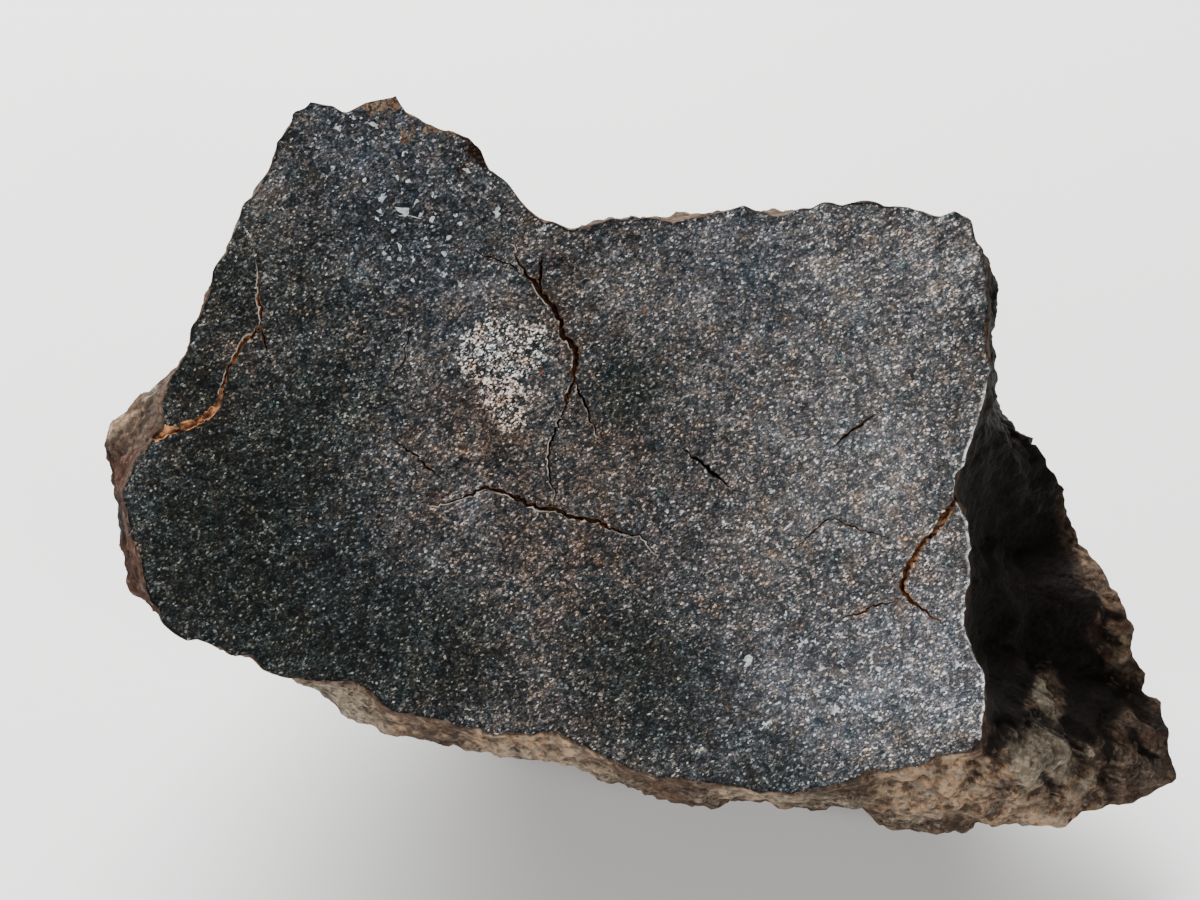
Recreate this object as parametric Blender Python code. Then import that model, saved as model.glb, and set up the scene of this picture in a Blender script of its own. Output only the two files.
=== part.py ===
"""End cut of a winonaite meteorite: one natural stone, sawn once, lying on its rough back.

The sizes below are millimetres in the face frame, and the mesh is in metres. The face frame has its
origin in the sawn face: u runs right, v runs up the slope of the face, w runs straight back into the
stone. The stone is a loft: the outline of the sawn face, the flank behind it out to the widest
section, and a blunt back that closes to one point. Broad broken flats, knobs, hollows and roughness
are worked into the loft, the cracks are cut into the face, and a small flat is ground on the underside.
"""

import bisect
import math

import bmesh
import bpy
from mathutils import Vector, noise

MM = 0.001

# Pose: the face leans back from the level, and its origin is held above the table's zero.
FACE_SLOPE = math.radians(35.0)
FACE_ORIGIN = Vector((-3.6, -2.4, 32.4))
AXIS_U = Vector((1.0, 0.0, 0.0))
AXIS_V = Vector((0.0, math.cos(FACE_SLOPE), math.sin(FACE_SLOPE)))
AXIS_W = Vector((0.0, math.sin(FACE_SLOPE), -math.cos(FACE_SLOPE)))

# Outline of the sawn face, (u, v), clockwise from the peak at the upper left.
FACE_OUTLINE = (
    (-21.8, 26.2), (-20.1, 25.9), (-19.2, 25.3), (-18.3, 26.1), (-15.4, 26.7), (-14.8, 25.7),
    (-13.4, 24.8), (-11.4, 24.1), (-9.9, 23.6), (-8.9, 22.4), (-8.4, 21.1), (-7.5, 20.7),
    (-6.6, 19.6), (-5.3, 17.9), (-4.1, 17.2), (-2.0, 16.8), (-0.1, 17.1), (2.4, 17.6),
    (4.1, 17.5), (5.5, 17.2), (8.0, 17.8), (10.8, 18.4), (12.6, 17.8), (13.8, 17.7),
    (14.9, 18.1), (16.0, 18.2), (16.9, 18.8), (18.2, 18.4), (19.6, 18.7), (21.2, 18.5),
    (22.5, 18.4), (23.6, 18.1), (24.5, 17.8), (25.5, 17.6), (26.7, 18.0), (27.9, 17.6),
    (28.5, 15.8), (29.2, 13.7), (29.3, 11.7), (29.4, 9.9), (29.1, 7.5), (29.6, 6.1),
    (29.0, 3.5), (28.3, 1.3), (27.7, -0.6), (26.9, -2.1), (26.7, -3.5), (27.3, -4.2),
    (27.7, -5.6), (28.1, -7.4), (28.0, -9.7), (27.5, -11.6), (27.7, -14.3), (28.5, -16.1),
    (29.1, -17.6), (29.0, -19.3), (28.8, -21.4), (28.3, -22.7), (26.8, -22.9), (25.4, -23.0),
    (23.9, -23.9), (22.2, -24.2), (20.1, -24.2), (18.1, -25.2), (15.9, -25.8), (14.2, -25.9),
    (12.0, -25.8), (9.6, -25.2), (6.1, -25.0), (4.1, -24.7), (2.3, -24.0), (0.7, -23.5),
    (-0.5, -22.9), (-1.6, -22.1), (-3.2, -21.5), (-5.0, -21.6), (-7.4, -21.5), (-9.3, -21.1),
    (-11.2, -20.8), (-13.1, -20.2), (-15.3, -19.8), (-16.5, -19.1), (-17.6, -18.1),
    (-18.8, -17.5), (-20.9, -17.4), (-22.8, -17.2), (-24.0, -17.1), (-25.3, -16.6),
    (-26.5, -15.5), (-27.6, -15.4), (-29.0, -14.9), (-30.3, -14.2), (-31.1, -14.4),
    (-31.9, -13.9), (-33.0, -13.1), (-33.6, -12.1), (-34.0, -11.0), (-34.6, -9.0),
    (-35.0, -6.9), (-36.0, -5.2), (-35.9, -3.2), (-35.3, -1.5), (-34.3, 0.0), (-32.9, 1.7),
    (-33.1, 3.5), (-32.5, 5.4), (-31.6, 6.8), (-31.0, 7.5), (-30.7, 9.4), (-29.6, 11.5),
    (-28.9, 14.0), (-27.7, 16.3), (-26.9, 18.2), (-25.5, 19.7), (-24.8, 21.7), (-24.2, 23.0),
    (-23.1, 25.2),
)

# Widest section behind the face, (u, v, w), with u and v as seen square on from VIEW_DISTANCE.
# The flank flares far out at the lower right, a little along the bottom, and in one lump at the left.
VIEW_DISTANCE = 220.0
WIDEST_SECTION = (
    (-30.0, 8.0, 4.0), (-26.2, 15.6, 8.0), (-23.2, 21.6, 9.0), (-19.0, 24.2, 9.0),
    (-13.0, 23.0, 9.0), (-8.4, 19.2, 9.0), (-3.5, 15.2, 9.0), (4.0, 15.7, 9.0), (12.0, 16.2, 9.0),
    (20.0, 16.8, 9.0), (26.6, 16.6, 8.0), (28.9, 15.4, 5.0), (29.9, 13.2, 4.0), (30.1, 9.9, 4.0),
    (30.0, 6.7, 4.5), (30.2, 3.2, 6.0), (31.1, 2.2, 7.0), (32.8, 0.5, 7.6), (34.1, -1.2, 8.0),
    (35.2, -2.7, 9.0), (35.6, -4.4, 10.4), (36.2, -5.9, 11.4), (36.8, -7.5, 11.4),
    (37.6, -9.3, 10.6), (38.5, -10.1, 9.8), (39.5, -11.6, 9.4), (40.4, -13.0, 9.4),
    (40.6, -13.9, 9.8), (40.4, -15.3, 10.6), (40.8, -16.7, 12.0), (40.8, -18.0, 12.6),
    (41.6, -18.8, 12.2), (42.2, -20.1, 11.0), (42.7, -22.0, 10.4), (42.9, -23.3, 10.4),
    (42.7, -24.6, 11.0), (41.6, -25.6, 11.8), (40.1, -26.4, 12.0), (38.3, -27.0, 11.0),
    (36.7, -27.6, 10.0), (35.3, -28.0, 9.6), (33.4, -28.3, 9.8), (30.4, -28.4, 10.2),
    (28.5, -28.0, 9.2), (26.7, -28.5, 10.0), (25.2, -28.2, 9.0), (22.6, -28.2, 9.0),
    (20.7, -27.8, 9.0), (19.4, -26.7, 8.0), (17.3, -26.9, 8.0), (15.7, -27.0, 7.0),
    (13.2, -26.5, 7.0), (10.7, -26.7, 7.0), (9.0, -27.1, 7.0), (6.1, -26.9, 7.0),
    (4.5, -26.5, 7.0), (3.0, -25.8, 7.0), (0.7, -25.5, 7.0), (-0.5, -25.0, 7.0),
    (-2.0, -24.2, 6.0), (-5.6, -23.4, 6.0), (-8.0, -22.8, 6.0), (-10.3, -22.1, 6.0),
    (-11.7, -22.4, 6.0), (-13.4, -22.1, 6.0), (-16.1, -21.2, 6.0), (-19.7, -19.4, 5.0),
    (-22.1, -17.7, 4.0), (-25.0, -16.2, 4.0), (-30.0, -13.8, 4.0), (-33.6, -12.1, 3.0),
    (-35.2, -10.5, 3.0), (-35.4, -9.0, 3.0), (-35.7, -6.3, 3.0), (-35.9, -3.6, 3.5),
    (-36.3, -2.3, 4.0), (-36.4, -0.9, 4.5), (-37.0, 0.2, 5.0), (-36.2, 1.7, 4.5),
    (-35.3, 3.3, 4.0), (-33.8, 4.7, 3.0), (-32.4, 5.6, 2.5),
)

# How the flank reaches that section, (angle in degrees, power): 1 is a straight slope, more is a
# hollow that runs straight back at first and then flares.
FLANK_BOWS = (
    (-180.0, 0.8), (-60.0, 0.8), (-34.0, 0.85), (-27.0, 1.1), (-22.0, 3.0), (-6.0, 3.0), (6.0, 1.8),
    (20.0, 1.0), (180.0, 0.8),
)

# The loft's own centre line: from the middle of the face to the tip of the back.
CENTRE = (-2.0, -3.0)
BACK_TIP = (-3.0, -8.0)
STONE_DEPTH = 30.0
CORE = Vector((2.0, -5.0, 9.0))

# Broken flats on the back: (angle round w, lean from w, how much has broken off).
BACK_FLATS = (
    (8.0, 60.0, 4.2), (46.0, 72.0, 2.6), (84.0, 56.0, 4.0), (122.0, 70.0, 2.4), (158.0, 58.0, 4.2),
    (196.0, 68.0, 3.0), (236.0, 66.0, 2.6), (312.0, 46.0, 6.2), (334.0, 62.0, 5.2), (290.0, 74.0, 1.6),
    (28.0, 32.0, 3.2), (98.0, 24.0, 3.2), (180.0, 30.0, 3.4),
)
FLAT_SOFTNESS = 0.012

# Knobs, ridges and hollows of the outside: start (u, v, w), end (u, v, w), radius, height. A round
# one starts and ends at the same place, and a hollow's height is below zero.
KNOBS = (
    ((31.4, -22.6, 2.6), (34.6, -22.4, 4.0), 2.4, 2.2),
    ((41.0, -21.0, 8.6), (41.0, -24.0, 8.8), 2.2, 1.5),
    ((37.4, -11.4, 9.4), (38.8, -15.6, 10.4), 1.8, 1.6),
    ((30.4, 0.8, 5.0), (33.6, -5.0, 8.6), 1.2, 1.0),
    ((31.4, -12.4, 6.6), (34.0, -18.4, 6.6), 1.1, 1.2),
    ((37.6, -17.6, 8.4), (37.8, -25.0, 6.4), 1.0, -2.0),
    ((35.0, -8.0, 9.0), (36.4, -17.0, 9.6), 1.8, -2.2),
    ((40.2, -17.6, 10.6), (41.4, -18.2, 11.0), 1.0, -1.1),
    ((29.8, 17.2, 2.0), (30.2, 12.0, 2.2), 2.0, 0.9),
    ((4.0, -27.0, 11.0), (8.0, -27.4, 11.0), 3.0, 0.9),
    ((-15.0, -21.0, 13.0), (-11.0, -22.0, 13.0), 2.8, -1.0),
    ((19.0, -28.0, 10.0), (19.0, -25.0, 15.0), 2.2, -1.1),
    ((-36.6, 0.6, 4.5), (-35.4, 3.2, 4.0), 1.8, 0.4),
    ((-30.0, -4.0, 14.0), (-26.0, 4.0, 19.0), 4.0, 1.5),
    ((-24.0, 16.0, 14.0), (-18.0, 11.0, 22.0), 4.0, -1.7),
    ((6.0, 16.0, 16.0), (14.0, 13.0, 20.0), 4.0, 1.3),
    ((25.0, 12.0, 13.0), (22.0, 8.0, 22.0), 3.6, -1.6),
    ((-12.0, -18.0, 20.0), (-8.0, -16.0, 25.0), 3.6, -1.3),
    ((31.0, -13.0, 22.0), (24.0, -16.0, 27.0), 4.0, 1.3),
    ((-6.0, 12.0, 24.0), (0.0, 8.0, 29.0), 3.6, -1.4),
    ((14.0, 2.0, 31.0), (20.0, 4.0, 28.0), 3.2, 1.1),
    ((-2.0, -14.0, 25.0), (3.0, -14.0, 25.0), 9.0, 2.4),
)

# Roughness of the outside: (wavelength, height). Waves are smooth, and knuckles are round with sharp
# creases between them.
WAVES = ((22.0, 1.6), (4.2, 0.3))
KNUCKLES = ((13.0, 3.2), (6.0, 1.5))
KNUCKLE_MEAN = 0.24
NOISE_PLACE = Vector((7.3, 3.1, 11.7))
ROUGH_FROM = 2.6

# Share of that roughness on the flank, (angle in degrees, share), so that it keeps its outline.
FLANK_ROUGHNESS = (
    (-180.0, 0.3), (-60.0, 0.35), (-20.0, 0.5), (0.0, 0.4), (30.0, 0.4), (50.0, 0.5), (130.0, 0.5),
    (155.0, 0.3), (180.0, 0.3),
)

# The fine teeth of the face edge fade out over this depth.
EDGE_DETAIL_DEPTH = 1.6

# Resolution of the loft: the spacing of its points along a ring, its rings, and how finely a ring is
# measured before its points are set out.
POINT_STEP = 1.6
FLANK_RINGS = 10
BACK_RINGS = 26
MEASURE_STEPS = 240

# Cracks open in the face: (width, depth, points as u, v).
CRACKS = {
    "crack_upper": (0.62, 1.5, (
        (-6.8, 16.1), (-6.0, 14.0), (-5.4, 13.0), (-4.5, 12.0), (-3.5, 10.9), (-2.9, 9.4),
        (-2.6, 8.4), (-1.8, 7.8), (-1.8, 6.8), (-2.0, 5.2), (-2.5, 3.8), (-2.8, 2.7))),
    "crack_upper_foot": (0.3, 0.9, (
        (-2.4, 4.2), (-2.8, 2.7), (-3.5, 1.0), (-3.9, -0.4), (-3.8, -2.5), (-3.3, -3.2), (-3.5, -4.2))),
    "crack_upper_spur": (0.36, 0.9, ((-4.7, 15.2), (-4.4, 13.4), (-4.5, 12.4), (-4.3, 11.6))),
    "crack_upper_branch": (0.34, 0.9, (
        (-2.0, 5.8), (-1.8, 5.0), (-1.1, 3.5), (-0.7, 2.1), (-0.2, 1.0))),
    "crack_lower": (0.48, 1.3, (
        (-13.0, -4.1), (-11.6, -4.0), (-10.2, -3.5), (-8.7, -2.9), (-7.2, -3.2), (-6.4, -3.7),
        (-5.0, -4.1), (-3.5, -4.6), (-2.0, -5.0), (-0.5, -5.3), (0.9, -5.9), (1.7, -6.2),
        (3.0, -6.4), (3.8, -7.3), (4.4, -8.1))),
    "crack_middle": (0.36, 1.0, ((6.1, 0.2), (7.8, -1.1), (9.0, -2.1), (9.9, -2.9))),
    "crack_right": (0.55, 1.4, (
        (28.6, -0.6), (27.1, -2.3), (26.8, -3.5), (26.4, -4.4), (25.2, -6.3), (24.3, -6.9),
        (23.6, -8.0), (22.9, -9.6), (22.8, -10.5), (23.4, -11.4), (24.5, -12.2), (26.0, -13.3))),
    "crack_left": (0.5, 1.0, (
        (-25.9, 14.1), (-25.7, 11.5), (-25.5, 9.6), (-25.9, 9.0), (-26.9, 8.1), (-27.6, 6.8),
        (-28.6, 4.8), (-28.5, 3.7), (-29.0, 2.7), (-30.3, 2.1), (-32.1, 1.6), (-34.6, 0.5))),
}
CRACK_TOP = 0.5

# Finish: name, base colour (linear), roughness, metallic.
CRUST = ("weathered_crust", (0.127, 0.091, 0.064), 0.85, 0.0)
FACE = ("polished_cut_face", (0.062, 0.060, 0.058), 0.35, 0.25)


def to_stone_frame(point):
    """A face-frame point in the stone's own frame, in metres."""
    u, v, w = point
    return (FACE_ORIGIN + AXIS_U * u + AXIS_V * v + AXIS_W * w) * MM


def smooth_step(value, start, end):
    share = min(1.0, max(0.0, (value - start) / (end - start)))
    return share * share * (3.0 - 2.0 * share)


def angle_about_centre(u, v):
    return math.atan2(v - CENTRE[1], u - CENTRE[0])


def lookup(table, x):
    """Linear reading of a sorted table of (x, value)."""
    after = bisect.bisect_left(table, (x, -math.inf))
    if after == 0:
        return table[0][1]
    if after == len(table):
        return table[-1][1]
    (x0, y0), (x1, y1) = table[after - 1], table[after]
    return y0 + (y1 - y0) * (x - x0) / (x1 - x0)


def closed_table(pairs):
    """A table over the full turn from (angle, value) pairs, padded so that lookups may run past it."""
    turn = 2.0 * math.pi
    pairs = sorted(pairs)
    return [(a - turn, y) for a, y in pairs] + pairs + [(a + turn, y) for a, y in pairs]


def smoothed_table(table, spread):
    """The table averaged over plus and minus spread, read at even angles over the full turn."""
    steps = [k / 6.0 for k in range(-6, 7)]
    weights = [math.exp(-2.0 * s * s) for s in steps]
    pairs = []
    for k in range(MEASURE_STEPS):
        angle = math.pi * (2.0 * k / MEASURE_STEPS - 1.0)
        total = sum(w * lookup(table, angle + s * spread) for s, w in zip(steps, weights))
        pairs.append((angle, total / sum(weights)))
    return closed_table(pairs)


class LoftTables:
    """What the loft reads against the angle about its centre line."""

    def __init__(self):
        face, radii, depths = [], [], []
        for u, v in FACE_OUTLINE:
            face.append((angle_about_centre(u, v), math.hypot(u - CENTRE[0], v - CENTRE[1])))
        for seen_u, seen_v, w in WIDEST_SECTION:
            grow = (VIEW_DISTANCE + w) / VIEW_DISTANCE
            u, v = seen_u * grow, seen_v * grow
            radii.append((angle_about_centre(u, v), math.hypot(u - CENTRE[0], v - CENTRE[1])))
            depths.append((angle_about_centre(u, v), w))
        self.face = closed_table(face)
        self.widest = closed_table(radii)
        self.face_smooth = smoothed_table(self.face, 0.16)
        self.widest_smooth = smoothed_table(self.widest, 0.1)
        self.depth = smoothed_table(closed_table(depths), 0.06)
        self.bow = [(math.radians(a), power) for a, power in FLANK_BOWS]
        self.rough = [(math.radians(a), share) for a, share in FLANK_ROUGHNESS]


def back_flat_planes(points):
    """(normal, distance from the core) of each broken flat, from the loft's own points."""
    planes = []
    for angle, lean, broken in BACK_FLATS:
        turn, tip = math.radians(angle), math.radians(lean)
        normal = Vector((math.sin(tip) * math.cos(turn), math.sin(tip) * math.sin(turn), math.cos(tip)))
        reach = max(normal.dot(point - CORE) for point in points)
        planes.append((normal, reach - broken))
    return planes


def cut_by_flats(point, planes, share):
    """Draws a point towards the core until it lies inside the flats, with softened edges."""
    arm = point - CORE
    scales = [1.0]
    for normal, distance in planes:
        reach = normal.dot(arm)
        if reach > 0.5 * distance:
            scales.append(distance / reach)
    least = min(scales)
    blend = sum(math.exp((least - s) / FLAT_SOFTNESS) for s in scales)
    soft = least - FLAT_SOFTNESS * math.log(blend)
    return CORE + arm * (1.0 + (min(1.0, soft) - 1.0) * share)


def distance_to_run(point, start, end):
    """Distance from a point to the straight run between two others."""
    along = end - start
    if along.length_squared == 0.0:
        return (point - start).length
    share = min(1.0, max(0.0, (point - start).dot(along) / along.length_squared))
    return (point - start - along * share).length


def roughened(point, share, rough):
    """Moves a point of the outside along its line from the core by the knobs and the roughness."""
    outward = (point - CORE).normalized()
    height = 0.0
    for wavelength, amplitude in WAVES:
        height += amplitude * noise.noise(point / wavelength + NOISE_PLACE)
    for wavelength, amplitude in KNUCKLES:
        height += amplitude * (abs(noise.noise(point / wavelength - NOISE_PLACE)) - KNUCKLE_MEAN)
    height *= rough
    for start, end, radius, rise in KNOBS:
        distance = distance_to_run(point, Vector(start), Vector(end)) / radius
        height += rise * math.exp(-distance * distance)
    return point + outward * height * share


def flank_point(tables, angle, share):
    """A point of the flank, from the face edge (share 0) to the widest section (share 1)."""
    depth = lookup(tables.depth, angle) * share
    smooth_edge, smooth_rim = lookup(tables.face_smooth, angle), lookup(tables.widest_smooth, angle)
    edge = smooth_edge + (lookup(tables.face, angle) - smooth_edge) * math.exp(-depth / EDGE_DETAIL_DEPTH)
    rim = smooth_rim + (lookup(tables.widest, angle) - smooth_rim) * share ** 3
    radius = edge + (rim - edge) * share ** lookup(tables.bow, angle)
    return Vector((CENTRE[0] + radius * math.cos(angle), CENTRE[1] + radius * math.sin(angle), depth))


def back_point(tables, angle, share):
    """A point of the back, from the widest section (share 0) to the tip (share 1)."""
    turn = share * math.pi / 2.0
    smooth_rim = lookup(tables.widest_smooth, angle)
    radius = smooth_rim + (lookup(tables.widest, angle) - smooth_rim) * math.exp(-8.0 * share)
    depth = lookup(tables.depth, angle)
    closing = math.cos(turn)
    return Vector((
        BACK_TIP[0] + (CENTRE[0] - BACK_TIP[0] + radius * math.cos(angle)) * closing,
        BACK_TIP[1] + (CENTRE[1] - BACK_TIP[1] + radius * math.sin(angle)) * closing,
        depth + (STONE_DEPTH - depth) * math.sin(turn),
    ))


def set_out(tables, section, share):
    """Angles of evenly spaced points along one ring of the loft."""
    turns = [2.0 * math.pi * k / MEASURE_STEPS - math.pi for k in range(MEASURE_STEPS + 1)]
    points = [section(tables, angle, share) for angle in turns]
    run = [(0.0, turns[0])]
    for angle, here, before in zip(turns[1:], points[1:], points):
        run.append((run[-1][0] + (here - before).length, angle))
    count = max(6, round(run[-1][0] / POINT_STEP))
    return [lookup(run, run[-1][0] * k / count) for k in range(count)]


def stone_rings():
    """Rings of (angle, face-frame point) from the face edge back, and the tip of the back."""
    tables = LoftTables()
    rings = [sorted((angle_about_centre(u, v), Vector((u, v, 0.0))) for u, v in subdivided_outline())]
    for row in range(1, FLANK_RINGS + 1):
        share = (row / FLANK_RINGS) ** 1.3
        ring = []
        for angle in set_out(tables, flank_point, share):
            point = flank_point(tables, angle, share)
            rise = smooth_step(point.z, 0.0, ROUGH_FROM)
            ring.append((angle, roughened(point, rise, lookup(tables.rough, angle))))
        rings.append(ring)
    back = []
    for row in range(1, BACK_RINGS):
        share = row / BACK_RINGS
        angles = set_out(tables, back_point, share)
        back.append((share, [(angle, back_point(tables, angle, share)) for angle in angles]))
    planes = back_flat_planes([point for _, ring in back for _, point in ring])
    for share, ring in back:
        worn = smooth_step(share, 0.0, 0.3)
        made = []
        for angle, point in ring:
            rough = lookup(tables.rough, angle)
            rough += (1.0 - rough) * worn
            made.append((angle, roughened(cut_by_flats(point, planes, worn), 1.0, rough)))
        rings.append(made)
    tip = cut_by_flats(Vector((*BACK_TIP, STONE_DEPTH)), planes, 1.0)
    return rings, roughened(tip, 1.0, 1.0)


def subdivided_outline():
    """The face outline with its long edges split."""
    points = []
    for (u0, v0), (u1, v1) in zip(FACE_OUTLINE, FACE_OUTLINE[1:] + FACE_OUTLINE[:1]):
        parts = max(1, round(math.hypot(u1 - u0, v1 - v0) / POINT_STEP))
        points += [(u0 + (u1 - u0) * i / parts, v0 + (v1 - v0) * i / parts) for i in range(parts)]
    return points


def join_rings(shape, near, far):
    """Triangles between two rings of (angle, vertex) that may differ in their number of points."""
    near_count, far_count = len(near), len(far)
    i = j = 0
    while i < near_count or j < far_count:
        near_next = near[i + 1][0] if i + 1 < near_count else near[0][0] + 2.0 * math.pi
        far_next = far[j + 1][0] if j + 1 < far_count else far[0][0] + 2.0 * math.pi
        here, there = near[i % near_count][1], far[j % far_count][1]
        if j == far_count or (i < near_count and near_next <= far_next):
            i += 1
            shape.faces.new((here, near[i % near_count][1], there))
        else:
            j += 1
            shape.faces.new((here, far[j % far_count][1], there))


def stone_mesh():
    """The closed stone before its cracks are cut, flat in the face and on the underside."""
    rings, tip = stone_rings()
    shape = bmesh.new()
    rows = [[(angle, shape.verts.new(to_stone_frame(p))) for angle, p in ring] for ring in rings]
    face = shape.faces.new([vertex for _, vertex in rows[0]])
    face.material_index = 1
    for near, far in zip(rows, rows[1:]):
        join_rings(shape, near, far)
    last = shape.verts.new(to_stone_frame(tip))
    for (_, here), (_, there) in zip(rows[-1], rows[-1][1:] + rows[-1][:1]):
        shape.faces.new((here, there, last))
    grind_rest_flat(shape, face)
    bmesh.ops.recalc_face_normals(shape, faces=shape.faces)
    return shape


def grind_rest_flat(shape, sawn_face):
    """Cuts off what lies below the table's zero and closes the cut, over any pits that it opened."""
    geometry = list(shape.verts) + list(shape.edges) + list(shape.faces)
    bmesh.ops.bisect_plane(
        shape, geom=geometry, dist=1e-7, plane_co=(0, 0, 0), plane_no=(0, 0, -1), clear_outer=True
    )
    kept = set(sawn_face.verts)
    reached = list(kept)
    while reached:
        here = reached.pop()
        for neighbour in (edge.other_vert(here) for edge in here.link_edges):
            if neighbour not in kept:
                kept.add(neighbour)
                reached.append(neighbour)
    pits = [vertex for vertex in shape.verts if vertex not in kept]
    bmesh.ops.delete(shape, geom=pits, context="VERTS")
    rim = [edge for edge in shape.edges if len(edge.link_faces) == 1]
    bmesh.ops.holes_fill(shape, edges=rim, sides=0)


def crack_cutter(name, width, depth, points):
    """A closed wedge along a crack, thin at both ends, from above the face down to its root."""
    shape = bmesh.new()
    half = width / 2.0 * (1.0 + CRACK_TOP / depth)
    tips = [shape.verts.new(to_stone_frame((*points[i], -CRACK_TOP))) for i in (0, -1)]
    rows = []
    for before, here, after in zip(points, points[1:], points[2:]):
        along = Vector((after[0] - before[0], after[1] - before[1])).normalized()
        side = Vector((-along.y, along.x)) * half
        corners = (
            (here[0] + side.x, here[1] + side.y, -CRACK_TOP),
            (here[0] - side.x, here[1] - side.y, -CRACK_TOP),
            (here[0], here[1], depth),
        )
        rows.append([shape.verts.new(to_stone_frame(corner)) for corner in corners])
    for row, tip in ((rows[0], tips[0]), (rows[-1], tips[1])):
        for k in range(3):
            shape.faces.new((row[k], row[(k + 1) % 3], tip))
    for near, far in zip(rows, rows[1:]):
        for k in range(3):
            shape.faces.new((near[k], near[(k + 1) % 3], far[(k + 1) % 3], far[k]))
    bmesh.ops.triangulate(shape, faces=shape.faces)
    bmesh.ops.recalc_face_normals(shape, faces=shape.faces)
    cutter = add_object(name, shape)
    cutter.hide_render = True
    cutter.display_type = "WIRE"
    return cutter


def add_object(name, shape):
    mesh = bpy.data.meshes.new(name)
    shape.to_mesh(mesh)
    shape.free()
    made = bpy.data.objects.new(name, mesh)
    bpy.context.scene.collection.objects.link(made)
    return made


def finish_material(name, colour, roughness, metallic):
    material = bpy.data.materials.new(name)
    material.use_nodes = True
    shader = material.node_tree.nodes["Principled BSDF"]
    shader.inputs["Base Color"].default_value = (*colour, 1.0)
    shader.inputs["Roughness"].default_value = roughness
    shader.inputs["Metallic"].default_value = metallic
    material.diffuse_color = (*colour, 1.0)
    return material


def clear_scene():
    for leftover in list(bpy.data.objects):
        bpy.data.objects.remove(leftover)


def main():
    clear_scene()
    stone = add_object("meteorite_end_cut", stone_mesh())
    for finish in (CRUST, FACE):
        stone.data.materials.append(finish_material(*finish))
    for name, (width, depth, points) in CRACKS.items():
        cut = stone.modifiers.new(name, "BOOLEAN")
        cut.operation = "DIFFERENCE"
        cut.solver = "EXACT"
        cut.object = crack_cutter(name, width, depth, points)


main()
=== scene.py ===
"""Looks of the winonaite meteorite end cut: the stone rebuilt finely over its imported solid.

Lengths are millimetres in the face frame unless a name says otherwise. The face frame has its origin in
the sawn face: u runs right, v runs up the slope of the face, w runs straight back into the stone.
"""

import bisect
import math
from functools import partial

import bmesh
import bpy
from bpy.props import FloatProperty, FloatVectorProperty, IntProperty, PointerProperty
from bpy.types import Operator, Panel, PropertyGroup
from mathutils import Matrix, Vector, kdtree, noise
from mathutils.geometry import delaunay_2d_cdt


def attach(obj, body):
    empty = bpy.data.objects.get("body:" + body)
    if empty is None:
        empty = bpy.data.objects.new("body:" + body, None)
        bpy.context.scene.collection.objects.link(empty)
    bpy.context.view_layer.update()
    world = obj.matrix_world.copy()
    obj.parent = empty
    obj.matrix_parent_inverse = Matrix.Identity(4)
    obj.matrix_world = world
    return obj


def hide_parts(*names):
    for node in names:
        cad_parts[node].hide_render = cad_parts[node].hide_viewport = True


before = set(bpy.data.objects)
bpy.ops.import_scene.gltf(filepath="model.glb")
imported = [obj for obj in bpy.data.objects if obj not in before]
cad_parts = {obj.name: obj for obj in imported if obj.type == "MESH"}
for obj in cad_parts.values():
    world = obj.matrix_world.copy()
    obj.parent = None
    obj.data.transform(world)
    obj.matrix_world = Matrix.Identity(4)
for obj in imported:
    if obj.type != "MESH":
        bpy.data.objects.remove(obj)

bl_info = {
    "name": "Winonaite end cut",
    "version": (1, 0, 0),
    "blender": (4, 5, 0),
    "location": "3D View > Sidebar > End cut",
    "description": "Builds a sawn and polished meteorite end cut and the light that it is seen in",
    "category": "Add Mesh",
}

MM = 0.001
NODE = "meteorite_end_cut"
MOST_TRIANGLES = 200000
TURN = 2.0 * math.pi


def linear(hex_colour):
    """An sRGB hex colour as the linear values that Blender's colour sockets take."""
    channels = [int(hex_colour[i:i + 2], 16) / 255.0 for i in (1, 3, 5)]
    return tuple(c / 12.92 if c <= 0.04045 else ((c + 0.055) / 1.055) ** 2.4 for c in channels)


# Pose of the face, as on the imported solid.
FACE_SLOPE = math.radians(35.0)
FACE_ORIGIN = Vector((-3.6, -2.4, 32.4))
AXIS_U = Vector((1.0, 0.0, 0.0))
AXIS_V = Vector((0.0, math.cos(FACE_SLOPE), math.sin(FACE_SLOPE)))
AXIS_W = Vector((0.0, math.sin(FACE_SLOPE), -math.cos(FACE_SLOPE)))

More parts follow.
